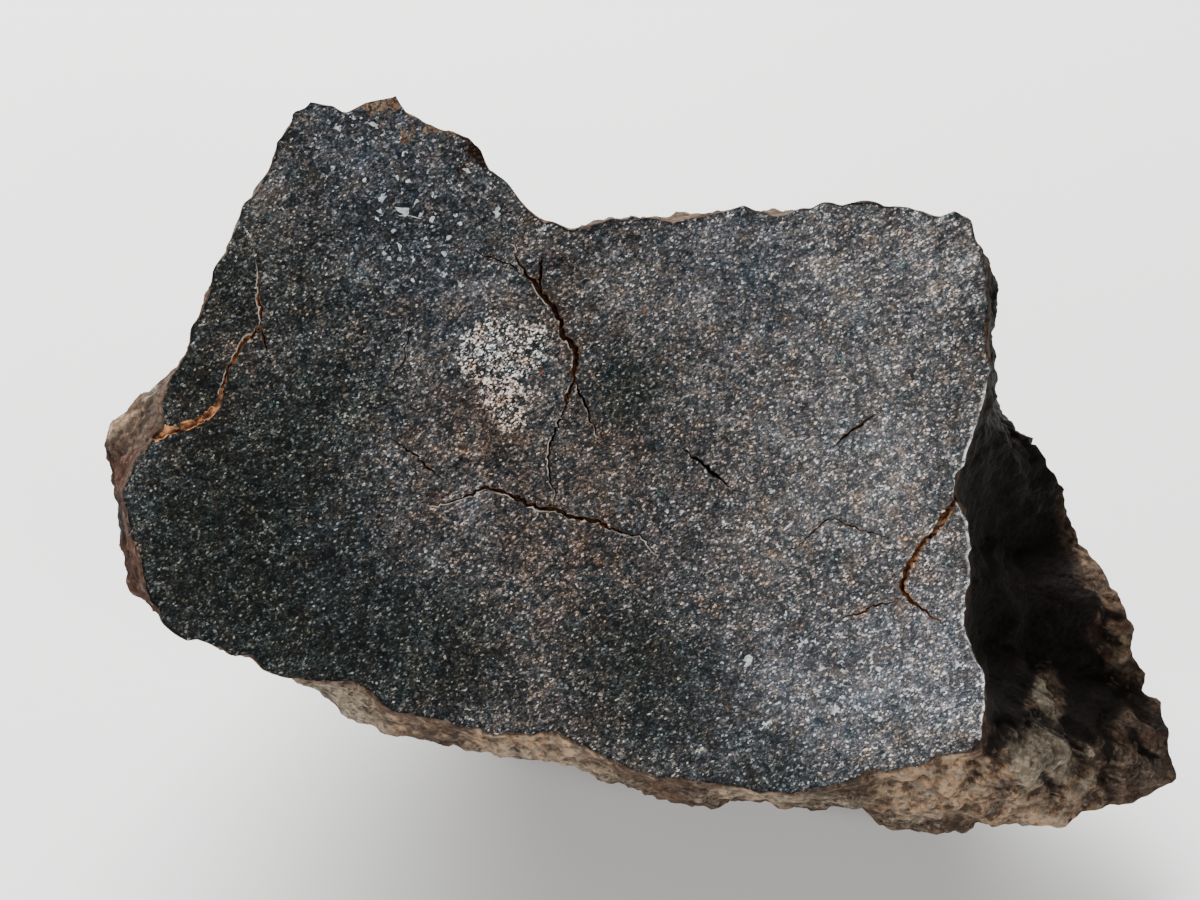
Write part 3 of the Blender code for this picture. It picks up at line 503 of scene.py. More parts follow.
def moved_out(u, v, by):
    """A point of the face plane moved away from the centre line."""
    share = 1.0 + by / math.hypot(u - CENTRE[0], v - CENTRE[1])
    return CENTRE[0] + (u - CENTRE[0]) * share, CENTRE[1] + (v - CENTRE[1]) * share


def lookup(table, x):
    """Linear reading of a sorted table of (x, value)."""
    after = bisect.bisect_left(table, (x, -math.inf))
    if after in (0, len(table)):
        return table[min(after, len(table) - 1)][1]
    (x0, y0), (x1, y1) = table[after - 1], table[after]
    return y0 + (y1 - y0) * (x - x0) / (x1 - x0)


def closed_table(pairs):
    """A table over the full turn from (angle, value) pairs, padded so that lookups may run past it."""
    pairs = sorted(pairs)
    return [(a - TURN, y) for a, y in pairs] + pairs + [(a + TURN, y) for a, y in pairs]


def smoothed_table(table, spread):
    """The table averaged over plus and minus spread, read at even angles over the full turn."""
    steps = [k / 6.0 for k in range(-6, 7)]
    weights = [math.exp(-2.0 * s * s) for s in steps]
    pairs = []
    for angle in ANGLES[:-1]:
        total = sum(w * lookup(table, angle + s * spread) for s, w in zip(steps, weights))
        pairs.append((angle, total / sum(weights)))
    return closed_table(pairs)


def ragged_outline(step):
    """The face outline at even steps, as rough as broken stone between the listed points."""
    outline = []
    for (u0, v0), (u1, v1) in zip(FACE_OUTLINE, FACE_OUTLINE[1:] + FACE_OUTLINE[:1]):
        parts = max(1, round(math.hypot(u1 - u0, v1 - v0) / step))
        for i in range(parts):
            u, v = u0 + (u1 - u0) * i / parts, v0 + (v1 - v0) * i / parts
            place = Vector((u, v, 5.0))
            outline.append(moved_out(u, v, sum(
                height * noise.noise(place / width) for width, height in EDGE_RAGGEDNESS)))
    return outline


def worn_outline(step, inset=0.0):
    """The face outline drawn in by wear, by chips and by an inset."""
    worn = []
    for u, v in ragged_outline(step):
        chip = noise.noise(Vector((u, v, 2.0)) / EDGE_CHIP_LENGTH)
        tooth = noise.noise(Vector((u, v, 9.0)) / EDGE_TOOTH_LENGTH)
        wear = EDGE_WEAR * (1.0 + 0.7 * tooth) + EDGE_CHIPS * max(0.0, chip - CHIPS_FROM)
        worn.append(moved_out(u, v, -(wear + inset)))
    return worn


def distance_to_run(point, start, end):
    """Distance from a point to the straight run between two others."""
    along = end - start
    share = (point - start).dot(along) / max(along.length_squared, 1e-9)
    return (point - start - along * min(1.0, max(0.0, share))).length


def as_seen(point):
    """Where a point appears on the plane of the face, seen square on."""
    return Vector((point.x, point.y, 0.0)) * VIEW_DISTANCE / (VIEW_DISTANCE + point.z)


def in_crevice(point):
    """(how far into a crevice a point of the outside is, from 0 to 1, and that crevice's depth)."""
    found, seen = (0.0, 0.0), as_seen(point)
    for radius, depth, points in CREVICES if point.z <= CREVICE_REACH else ():
        if abs(seen.x - points[0][0]) > CREVICE_SPAN:
            continue
        for start, end in zip(points, points[1:]):
            reach = distance_to_run(seen, Vector((*start, 0.0)), Vector((*end, 0.0))) / radius
            found = max(found, (math.exp(-reach * reach), depth))
    return found


def roughened(point, rough, share=1.0):
    """Moves a point of the outside along its line from the core by the knobs and the roughness."""
    outward = (point - CORE).normalized()
    height = 0.0
    for wavelength, amplitude in WAVES:
        height += amplitude * noise.noise(point / wavelength + NOISE_PLACE)
    for wavelength, amplitude in KNUCKLES:
        height += amplitude * (abs(noise.noise(point / wavelength - NOISE_PLACE)) - KNUCKLE_MEAN)
    height *= rough
    for start, end, radius, rise in KNOBS:
        if abs(point.x - start[0]) > 3.0 * radius + KNOB_SPAN:
            continue
        distance = distance_to_run(point, Vector(start), Vector(end)) / radius
        height += rise * math.exp(-distance * distance)
    within, depth = in_crevice(point)
    return point + outward * (height - within * depth) * share


def back_flat_planes(points):
    """(normal, distance from the core) of each broken flat, from the loft's own points."""
    planes = []
    for angle, lean, broken in BACK_FLATS:
        turn, tip = math.radians(angle), math.radians(lean)
        normal = Vector((math.sin(tip) * math.cos(turn), math.sin(tip) * math.sin(turn), math.cos(tip)))
        planes.append((normal, max(normal.dot(point - CORE) for point in points) - broken))
    return planes


def cut_by_flats(point, planes, share=1.0):
    """Draws a point towards the core until it lies inside the flats, with softened edges."""
    arm = point - CORE
    reaches = [(normal.dot(arm), distance) for normal, distance in planes]
    scales = [1.0] + [distance / reach for reach, distance in reaches if reach > 0.5 * distance]
    least = min(scales)
    blend = sum(math.exp((least - s) / FLAT_SOFTNESS) for s in scales)
    soft = least - FLAT_SOFTNESS * math.log(blend)
    return CORE + arm * (1.0 + (min(1.0, soft) - 1.0) * share)


class Loft:
    """The outside: what it reads against the angle about its centre line, and its rings of points."""

    def __init__(self, step):
        self.step = step
        widest, depths = [], []
        for seen_u, seen_v, w in WIDEST_SECTION:
            grow = (VIEW_DISTANCE + w) / VIEW_DISTANCE
            widest.append(polar(seen_u * grow, seen_v * grow))
            depths.append((widest[-1][0], w))
        self.edge = closed_table(polar(u, v) for u, v in ragged_outline(step))
        self.widest = closed_table(widest)
        edge_spread, widest_spread, depth_spread = SMOOTHING
        self.edge_smooth = smoothed_table(self.edge, edge_spread)
        self.widest_smooth = smoothed_table(self.widest, widest_spread)
        self.depth = smoothed_table(closed_table(depths), depth_spread)
        self.bow = [(math.radians(a), power) for a, power in FLANK_BOWS]
        self.rough = [(math.radians(a), share) for a, share in FLANK_ROUGHNESS]

    def flank(self, share, angle):
        """A point of the flank, from the face edge (share 0) to the widest section (share 1)."""
        depth = lookup(self.depth, angle) * share
        edge, rim = lookup(self.edge_smooth, angle), lookup(self.widest_smooth, angle)
        edge += (lookup(self.edge, angle) - edge) * math.exp(-depth / EDGE_DETAIL_DEPTH)
        rim += (lookup(self.widest, angle) - rim) * share ** 3
        radius = edge + (rim - edge) * share ** lookup(self.bow, angle)
        return Vector((CENTRE[0] + radius * math.cos(angle), CENTRE[1] + radius * math.sin(angle), depth))

    def back(self, share, angle):
        """A point of the back, from the widest section (share 0) to the tip (share 1)."""
        turn = share * math.pi / 2.0
        radius = lookup(self.widest_smooth, angle)
        radius += (lookup(self.widest, angle) - radius) * math.exp(-8.0 * share)
        depth, closing = lookup(self.depth, angle), math.cos(turn)
        return Vector((
            BACK_TIP[0] + (CENTRE[0] - BACK_TIP[0] + radius * math.cos(angle)) * closing,
            BACK_TIP[1] + (CENTRE[1] - BACK_TIP[1] + radius * math.sin(angle)) * closing,
            depth + (STONE_DEPTH - depth) * math.sin(turn)))

    def flank_profile(self, angle):
        """The flank's profile at one angle, as (run along it, share), both from 0 to 1."""
        shares = [k / PROFILE_STEPS for k in range(PROFILE_STEPS + 1)]
        points = [self.flank(share, angle) for share in shares]
        run = [0.0]
        for here, before in zip(points[1:], points):
            run.append(run[-1] + (here - before).length)
        return [(length / run[-1], share) for length, share in zip(run, shares)]

    def ring(self, section):
        """(angle, point) of evenly spaced points along one ring."""
        points = [section(angle) for angle in ANGLES]
        run = [(0.0, ANGLES[0])]
        for angle, here, before in zip(ANGLES[1:], points[1:], points):
            run.append((run[-1][0] + (here - before).length, angle))
        length = run[-1][0]
        count = max(6, round(length / self.step))
        angles = [lookup(run, length * k / count) for k in range(count)]
        return [(angle, section(angle)) for angle in angles]

    def rings(self, cracks):
        """Rings of (share of the way to the tip, points with their angles) behind the face edge."""
        flank_rings, back_rings = round(FLANK_RUN / self.step), round(BACK_RUN / self.step)
        total = flank_rings + back_rings
        profiles = [(angle, self.flank_profile(angle)) for angle in ANGLES[:-1]]
        rings = []
        for row in range(1, flank_rings + 1):
            run = (row / flank_rings) ** RING_CROWDING
            shares = closed_table((angle, lookup(profile, run)) for angle, profile in profiles)
            made = []
            for angle, point in self.ring(lambda angle: self.flank(lookup(shares, angle), angle)):
                rise = smooth_step(point.z, 0.0, ROUGH_FROM)
                point = roughened(point, lookup(self.rough, angle), rise)
                if point.z < CRACK_REACH:
                    point.z = max(point.z, cracks.depth(point.x, point.y))
                made.append((angle, point))
            rings.append((row / total, made))
        back = [self.ring(partial(self.back, row / back_rings)) for row in range(1, back_rings)]
        planes = back_flat_planes([point for ring in back for _, point in ring])
        for row, ring in enumerate(back, 1):
            worn = smooth_step(row / back_rings, 0.0, 0.3)
            made = []
            for angle, point in ring:
                rough = lookup(self.rough, angle)
                rough += (1.0 - rough) * worn
                made.append((angle, roughened(cut_by_flats(point, planes, worn), rough)))
            rings.append(((flank_rings + row) / total, made))
        return rings, roughened(cut_by_flats(Vector((*BACK_TIP, STONE_DEPTH)), planes), 1.0)


def wander(place):
    """A smooth random offset in the plane at a place."""
    return Vector((noise.noise(place), noise.noise(place + NOISE_PLACE)))


def tree_of(points):
    """A search tree of points (u, v)."""
    tree = kdtree.KDTree(len(points))
    for k, point in enumerate(points):
        tree.insert((*point, 0.0), k)
    tree.balance()
    return tree


class CrackField:
    """Every crack as closely spaced stations, and what they make of a point of the face."""

    def __init__(self, width_scale):
        self.runs, self.trees = [], []
        for index, (width, depth, tan, lip, points) in enumerate(CRACKS.values()):
            path = self.refined([Vector(p) for p in points], index)
            last, stations = len(path) - 1, []
            for k, point in enumerate(path):
                along = (path[min(k + 1, last)] - path[max(k - 1, 0)]).normalized()
                from_end = min(k, last - k)
                ends = min(1.0, 0.15 + 3.0 * from_end / len(path))
                place = Vector((point.x, point.y, index))
                uneven = 1.0 + 0.55 * noise.noise(place * 0.8) + 0.45 * noise.noise(place * 2.9)
                uneven = max(0.3, uneven + 0.6 * noise.noise(place * 7.7))
                half = 0.5 * width * width_scale * ends * uneven
                stations.append((point, along, half, depth * ends if from_end else 0.0, tan, lip))
            self.runs.append(stations)
            self.trees.append(tree_of(path))

    @staticmethod
    def refined(points, index):
        """The listed points with stations between them that wander a little."""
        path = []
        for start, end in zip(points, points[1:]):
            parts = max(1, round((end - start).length / CRACK_STEP))
            path += [start.lerp(end, k / parts) for k in range(parts)]
        path.append(points[-1])
        for k in range(1, len(path) - 1):
            place = Vector((*path[k], 3.0 * index))
            bend = wander(place * 1.3) + wander(place * 3.1) + wander(place * 6.3) * 0.5
            path[k] = path[k] + bend * CRACK_WANDER
        return path

    def near(self, index, u, v):
        """(distance from one crack's middle line, signed to its left, and its station there)."""
        station = self.runs[index][self.trees[index].find((u, v, 0.0))[1]]
        arm, along = Vector((u, v)) - station[0], station[1]
        across = along.x * arm.y - along.y * arm.x
        beyond = max(0.0, abs(arm.dot(along)) - CRACK_STEP)
        return math.copysign(math.hypot(across, beyond), across), station

    def nearest(self, u, v):
        """The same for the crack whose edge is nearest."""
        found = [self.near(index, u, v) for index in range(len(self.runs))]
        return min(found, key=lambda pair: abs(pair[0]) - pair[1][2])

    def depth(self, u, v, skipped=()):
        """How deep the cracks are cut at a point of the face."""
        deepest = 0.0
        for index in range(len(self.runs)):
            if index not in skipped:
                across, station = self.near(index, u, v)
                share = max(0.0, 1.0 - abs(across) / station[2])
                deepest = max(deepest, station[3] * min(1.0, CRACK_STEEPNESS * share))
        return deepest

    def chains(self):
        """Lines along each crack for the face mesh to follow: (crack, points, own depths)."""
        lines = []
        for index, run in enumerate(self.runs):
            for side, beyond in CRACK_LINES:
                steep = min(1.0, CRACK_STEEPNESS * (1.0 - abs(side)))
                points = []
                for point, along, half, *_ in run:
                    offset = side * (half + beyond)
                    points.append((point.x - along.y * offset, point.y + along.x * offset))
                lines.append((index, points, [station[3] * steep for station in run]))
        return lines


def soft_patches(patches, place):
    """How much of a quality the soft patches give at a place, from 0 to 1."""
    left = 1.0
    for *centre, radius, share in patches:
        reach = math.dist(centre, place) / radius
        if reach < PATCH_REACH:
            left *= 1.0 - share * math.exp(-reach * reach * reach)
    return 1.0 - left


def fleck_outline(index, fleck):
    """A small angular polygon for one fleck."""
    u, v, length, breadth, turn = fleck
    corners = 7 + index % 3 + round(3.0 * length)
    axis = Matrix.Rotation(math.radians(turn), 2)
    outline = []
    for k in range(corners):
        angle = TURN * (k + 0.35 * noise.cell(Vector((index, k, 1.0)))) / corners
        uneven = 0.5 * (0.6 + 0.6 * noise.cell(Vector((k, index, 2.0))))
        corner = axis @ Vector((math.cos(angle) * length * uneven, math.sin(angle) * breadth * uneven))
        outline.append((u + corner.x, v + corner.y))
    return outline


def inside(outline, u, v):
    """Whether a point is inside a closed outline."""
    crossings = 0
    for (u0, v0), (u1, v1) in zip(outline, outline[1:] + outline[:1]):
        if (v0 > v) != (v1 > v) and u < u0 + (u1 - u0) * (v - v0) / (v1 - v0):
            crossings += 1
    return crossings % 2 == 1


def face_triangles(cracks, flecks, point_step, face_step):
    """Points (u, v, depth) and triangles of the sawn face, following its edge, cracks and flecks."""
    outline = worn_outline(point_step)
    points, edges, carved = [], [], {}

    def follow(line, closed=True):
        first, count = len(points), len(line)
        points.extend(line)
        edges.extend((first + k, first + (k + 1) % count) for k in range(count if closed else count - 1))
        return first

    follow(outline)
    follow(worn_outline(point_step, EDGE_BAND))
    for index, chain, depths in cracks.chains():
        first = follow(chain, closed=False)
        carved.update({first + k: (index, depth) for k, depth in enumerate(depths)})
    for fleck in flecks:
        follow(fleck)
    fixed = tree_of(points)
    row_step = face_step * ROW_SHARE
    for row in range(math.ceil(GRID_SIZE[1] / row_step)):
        for column in range(math.ceil(GRID_SIZE[0] / face_step)):
            u = GRID_CORNER[0] + (column + 0.5 * (row % 2)) * face_step
            v = GRID_CORNER[1] + row * face_step * ROW_SHARE
            jitter = wander(Vector((u, v, 0.0)) * 3.7) * GRID_JITTER * face_step
            place = (u + jitter.x, v + jitter.y)
            if inside(outline, *place) and fixed.find((*place, 0.0))[2] > GRID_CLEARANCE * face_step:
                points.append(place)
    verts, _, faces, sources, _, _ = delaunay_2d_cdt([Vector(p) for p in points], edges, [], 1, 1e-4, True)
    middles = [sum((verts[k] for k in face), Vector((0.0, 0.0))) / len(face) for face in faces]
    kept = [face for face, middle in zip(faces, middles) if inside(outline, *middle)]
    placed = []
    for (u, v), source in zip(verts, sources):
        own = [carved[k] for k in source if k in carved]
        depth = cracks.depth(u, v, [index for index, _ in own])
        placed.append((u, v, max([depth] + [own_depth for _, own_depth in own])))
    return placed, kept


class StoneBuilder:
    """Builds the stone's base mesh: the sawn face with its cracks, then the loft of the outside."""

    def __init__(self, settings):
        self.point_step, self.face_step = settings.point_step / MM, settings.face_step / MM
        self.cracks = CrackField(settings.crack_width)
        self.shape = bmesh.new()
        self.uv = self.shape.loops.layers.uv.new("OFBake")
        names = (*FACE_PATCHES, *CRUST_PATCHES, "lip", "tan", "glint", "grime", "rise", "crevice")
        self.layers = {name: self.shape.verts.layers.float.new(name) for name in names}

    def paint_face(self, vertex, u, v):
        for quality, patches in FACE_PATCHES.items():
            vertex[self.layers[quality]] = soft_patches(patches, (u, v))
        across, (_, _, half, _, tan, lip) = self.cracks.nearest(u, v)
        edge = abs(across) - half
        if lip and across * lip > 0.0 and abs(edge) < CRACK_LIP:
            vertex[self.layers["lip"]] = 1.0 - abs(edge) / CRACK_LIP
        vertex[self.layers["tan"]] = tan

    def crust_vertex(self, point):
        vertex, place, seen = self.shape.verts.new(point), tuple(point), tuple(as_seen(point).xy)
        for quality, patches in CRUST_PATCHES.items():
            share = soft_patches(SEEN_PATCHES[quality], seen) if point.z <= CREVICE_REACH else 0.0
            vertex[self.layers[quality]] = 1.0 - (1.0 - share) * (1.0 - soft_patches(patches, place))
        vertex[self.layers["crevice"]] = in_crevice(point)[0]
        return vertex

    def make_face(self):
        """The sawn face, with its open edge as (angle, vertex) in order round the centre."""
        parts = [part for part, group in FLECKS.items() for _ in group]
        flecks = [fleck for group in FLECKS.values() for fleck in group]
        flecks = [fleck_outline(k, fleck) for k, fleck in enumerate(flecks)]
        verts, faces = face_triangles(self.cracks, flecks, self.point_step, self.face_step)
        made, angles = [], {}
        for u, v, depth in verts:
            vertex = self.shape.verts.new((u, v, depth))
            self.paint_face(vertex, u, v)
            angles[vertex] = polar(u, v)[0]
            made.append(vertex)
        for corners in faces:
            face = self.shape.faces.new([made[k] for k in corners])
            u, v, depth = face.calc_center_median()
            held = (part for outline, part in zip(flecks, parts)
                    if abs(outline[0][0] - u) < FLECK_REACH and inside(outline, u, v))
            face.material_index = FILLING_PART if depth > FILLED_DEPTH else next(held, FACE_PART)
            for loop in face.loops:
                loop[self.uv].uv = [
                    (at + corner) * FACE_MAP_SCALE for at, corner in zip(loop.vert.co, FACE_MAP_CORNER)]
        loose = [vertex for vertex in made if not vertex.link_faces]
        bmesh.ops.delete(self.shape, geom=loose, context="VERTS")
        rim = {vertex for edge in self.shape.edges if len(edge.link_faces) == 1 for vertex in edge.verts}
        return sorted(((angles[vertex], vertex) for vertex in rim), key=lambda pair: pair[0])

    def crust_face(self, corners):
        """A triangle of the outside from (vertex, angle, share of the way to the tip) for each corner."""
        face = self.shape.faces.new([vertex for vertex, _, _ in corners])
        for loop, (_, angle, run) in zip(face.loops, corners):
            loop[self.uv].uv = (
                (angle + math.pi) / (TURN * CRUST_MAP_ROUND),
                CRUST_MAP_FOOT + run * (CRUST_MAP_TOP - CRUST_MAP_SPLIT))

    def join_rings(self, near, far, near_run, far_run):
        """Triangles between two rings of (angle, vertex) that may differ in their number of points."""
        def at(ring, k):
            angle, vertex = ring[k % len(ring)]
            return vertex, angle + TURN * (k // len(ring))

        i = j = 0
        while i < len(near) or j < len(far):
            here, there = (*at(near, i), near_run), (*at(far, j), far_run)
            near_next, far_next = (*at(near, i + 1), near_run), (*at(far, j + 1), far_run)
            if j == len(far) or (i < len(near) and near_next[1] <= far_next[1]):
                i, third = i + 1, near_next
            else:
                j, third = j + 1, far_next
            self.crust_face((here, third, there))

    def make_crust(self, near):
        """The outside, joined on behind the face's open edge."""
        for _, vertex in near:
            if vertex.co.z < 0.05:
                place = tuple(vertex.co.xy)
                vertex[self.layers["glint"]] = 2.0 * soft_patches(PAINTED_EDGE_GLINTS, place)
                vertex[self.layers["grime"]] = 1.6 * soft_patches(DARK_EDGES, place)
        for seam in (edge for edge in self.shape.edges if len(edge.link_faces) == 1):
            seam.smooth = False
        rings, tip = Loft(self.point_step).rings(self.cracks)
        near_run = 0.0
        for run, ring in rings:
            far = []
            for angle, point in ring:
                vertex = self.crust_vertex(point)
                vertex[self.layers["rise"]] = smooth_step(point.z, 0.15, 1.6)
                far.append((angle, vertex))
            self.join_rings(near, far, near_run, run)
            near, near_run = far, run
        last = self.crust_vertex(tip)
        last[self.layers["rise"]] = 1.0
        for (angle, here), (_, there) in zip(near, near[1:] + near[:1]):
            self.crust_face(((here, angle, near_run), (there, angle, near_run), (last, angle, 1.0)))

    def object(self, name):
        """The finished base mesh as an object, in the stone's own frame."""
        self.make_crust(self.make_face())
        for vertex in self.shape.verts:
            vertex.co = to_stone_frame(vertex.co)
        bmesh.ops.recalc_face_normals(self.shape, faces=self.shape.faces)
        for face in self.shape.faces:
            face.smooth = face.material_index == CRUST_PART
        return object_from(self.shape, name)


def object_from(shape, name):
    """A new object of the scene from a bmesh."""
    mesh = bpy.data.meshes.new(name)
    shape.to_mesh(mesh)
    shape.free()
    return linked(bpy.data.objects.new(name, mesh))


def linked(made):
    """The object, put into the scene."""
    bpy.context.scene.collection.objects.link(made)
    return made


# Kinds of node by the names that they have here: (Blender's kind, sockets in order, output, settings).
KINDS = {
    "mix": ("ShaderNodeMix", (0, 6, 7), 2, {"data_type": "RGBA"}),
    "tint": ("ShaderNodeMix", (0, 6, 7), 2, {"data_type": "RGBA", "blend_type": "MULTIPLY"}),
    "range": ("ShaderNodeMapRange", None, 0, {"interpolation_type": "SMOOTHSTEP"}),
    "scaled": ("ShaderNodeVectorMath", (0, 3), 0, {"operation": "SCALE"}),
    "noise": ("ShaderNodeTexNoise", ("Vector", "Scale", "Detail", "Roughness"), 0, {}),
    "cells": ("ShaderNodeTexVoronoi", ("Vector", "Scale"), slice(2), {}),
    "split": ("ShaderNodeSeparateColor", None, slice(3), {}),
    "bump": ("ShaderNodeBump", ("Height", "Strength", "Distance"), 0, {}),
}


def add_node(tree, kind, *inputs, give=None, **settings):
    """Adds a node and gives its output. A kind in capitals is an operation of arithmetic.

    The inputs are outputs of other nodes, numbers, vectors or colours, in the order of the sockets, and
    None leaves a socket as it is. The Scale of a pattern is given as its size in millimetres.
    """
    if kind.isupper():
        kind, settings["operation"] = "ShaderNodeMath", kind
    name, sockets, output, usual = KINDS.get(kind, (kind, None, 0, {}))
    node = tree.nodes.new(name)
    for setting, value in {**usual, **settings}.items():
        setattr(node, setting, value)
    for socket, value in zip(sockets or range(len(inputs)), inputs):
        feed(node.inputs[socket], 1.0 / (value * MM) if socket == "Scale" else value)
    return node.outputs[output if give is None else give] if node.outputs else None


def feed(socket, value):
    """Gives a socket another node's output or a value of its own; a colour may be a hex code."""
    if isinstance(value, bpy.types.NodeSocket):
        socket.id_data.links.new(value, socket)
    elif socket.type == "RGBA":
        socket.default_value = (*(linear(value) if isinstance(value, str) else value), 1.0)
    elif value is not None:
        socket.default_value = value


def weighted(add, base, *pairs):
    """The base plus each value times its weight."""
    for value, weight in pairs:
        base = add("MULTIPLY_ADD", value, weight, base)
    return base


def layered(add, kind, colour, *layers):
    """A colour with layers mixed over it: (pattern, where it starts, where it is full, share, colour)."""
    for pattern, start, full, share, over in layers:
        colour = add(kind, add("range", pattern, start, full, 0.0, share), colour, over)
    return colour


def crust_relief_tree(materials):
    """Geometry Nodes that work the finer relief into the outside and hold it above the table."""
    tree = bpy.data.node_groups.new("crust_relief", "GeometryNodeTree")
    tree.interface.new_socket("Geometry", in_out="INPUT", socket_type="NodeSocketGeometry")
    for name in CrustSettings.__annotations__:
        tree.interface.new_socket(name, in_out="INPUT", socket_type="NodeSocketFloat")
    tree.interface.new_socket("Geometry", in_out="OUTPUT", socket_type="NodeSocketGeometry")
    add = partial(add_node, tree)
    given = add("NodeGroupInput").node.outputs
    place, normal = add("GeometryNodeInputPosition"), add("GeometryNodeInputNormal")
    rise = add("GeometryNodeInputNamedAttribute", "rise", data_type="FLOAT")

    def per_metre(size):
        return add("DIVIDE", 1.0, given[size])

    # Rounded knuckles and crumbs with sharp creases between them, and grit.
    lumps = []
    for size, seed_step in (("knuckle_size", 0.0), ("crumb_size", 11.0)):
        seed = add("ADD", given["seed"], seed_step)
        texture = add(
            "ShaderNodeTexNoise", place, seed, per_metre(size), 1.0, 0.55, noise_dimensions="4D")
        lumps.append(weighted(add, -0.4, (add("ABSOLUTE", add("SUBTRACT", texture, 0.5)), 4.0)))
    grit = add("SUBTRACT", 0.5, add("ShaderNodeTexVoronoi", place, None, per_metre("grit_size")))

    # Splits along the edges of wide cells, bent by up to 3.5 mm, and only in some places.
    bend = add("ShaderNodeTexNoise", place, None, 420.0, 2.0, give="Color")
    bent = add("ShaderNodeVectorMath", bend, (3.5 * MM,) * 3, place, operation="MULTIPLY_ADD")
    split = add(
        "ShaderNodeTexVoronoi", bent, None, per_metre("split_size"), feature="DISTANCE_TO_EDGE")
    split = add("MULTIPLY_ADD", split, -22.0, 1.0, use_clamp=True)
    where = add("ShaderNodeTexNoise", place, None, 130.0, 1.0)
    split = add("MULTIPLY", split, add("MULTIPLY_ADD", where, 9.0, -4.5, use_clamp=True))

    height = add("MULTIPLY", grit, given["grit_height"])
    height = weighted(
        add, height, (lumps[0], given["knuckle_height"]), (lumps[1], given["crumb_height"]))
    height = add("SUBTRACT", height, add("MULTIPLY", split, given["split_depth"]))
    height = add("MULTIPLY", height, rise)
    shape = add(
        "GeometryNodeSetPosition", given["Geometry"], None, None, add("scaled", normal, height))
    shape = add(
        "GeometryNodeStoreNamedAttribute", shape, None, "relief", add("MULTIPLY", height, 1.0 / MM),
        data_type="FLOAT", domain="POINT")
    x, y, z = add("ShaderNodeSeparateXYZ", place, give=slice(3))
    held = add("ShaderNodeCombineXYZ", x, y, add("MAXIMUM", z, 0.0))
    shape = add("GeometryNodeRealizeInstances", add("GeometryNodeSetPosition", shape, None, held))
    part = add("GeometryNodeInputNamedAttribute", "part", data_type="INT")
    for index, material in enumerate(materials):
        same = add("FunctionNodeCompare", None, None, part, index, data_type="INT", operation="EQUAL")
        shape = add("GeometryNodeSetMaterial", shape, same, material)
    add("NodeGroupOutput", shape)
    return tree


def applied_relief(base, settings, materials):
    """The base mesh with the relief tree applied, as a plain mesh object with the stone's name."""
    part = base.data.attributes.new("part", "INT", "FACE")
    part.data.foreach_set("value", [polygon.material_index for polygon in base.data.polygons])
    modifier = base.modifiers.new("crust_relief", "NODES")
    modifier.node_group = crust_relief_tree(materials)
    for item in modifier.node_group.interface.items_tree:
        if item.name in settings.__annotations__:
            modifier[item.identifier] = float(getattr(settings, item.name))
    graph = bpy.context.evaluated_depsgraph_get()
    mesh = bpy.data.meshes.new_from_object(base.evaluated_get(graph))
    base.modifiers.remove(modifier)
    bpy.data.objects.remove(base)
    mesh.name = "end_cut_stone"
    return linked(bpy.data.objects.new("end_cut_stone", mesh))


def new_material(name):
    """A new material, the function that adds its nodes, and its object coordinates."""
    material = bpy.data.materials.new(name)
    material.use_nodes = True
    add = partial(add_node, material.node_tree)
    return material, add, add("ShaderNodeTexCoord", give="Object")


def finished(material, **sockets):
    """The material with its shader's sockets fed, by their names with low lines for spaces."""
    shader = material.node_tree.nodes["Principled BSDF"]
    for name, value in sockets.items():
        feed(shader.inputs[name.replace("_", " ")], value)
    return material


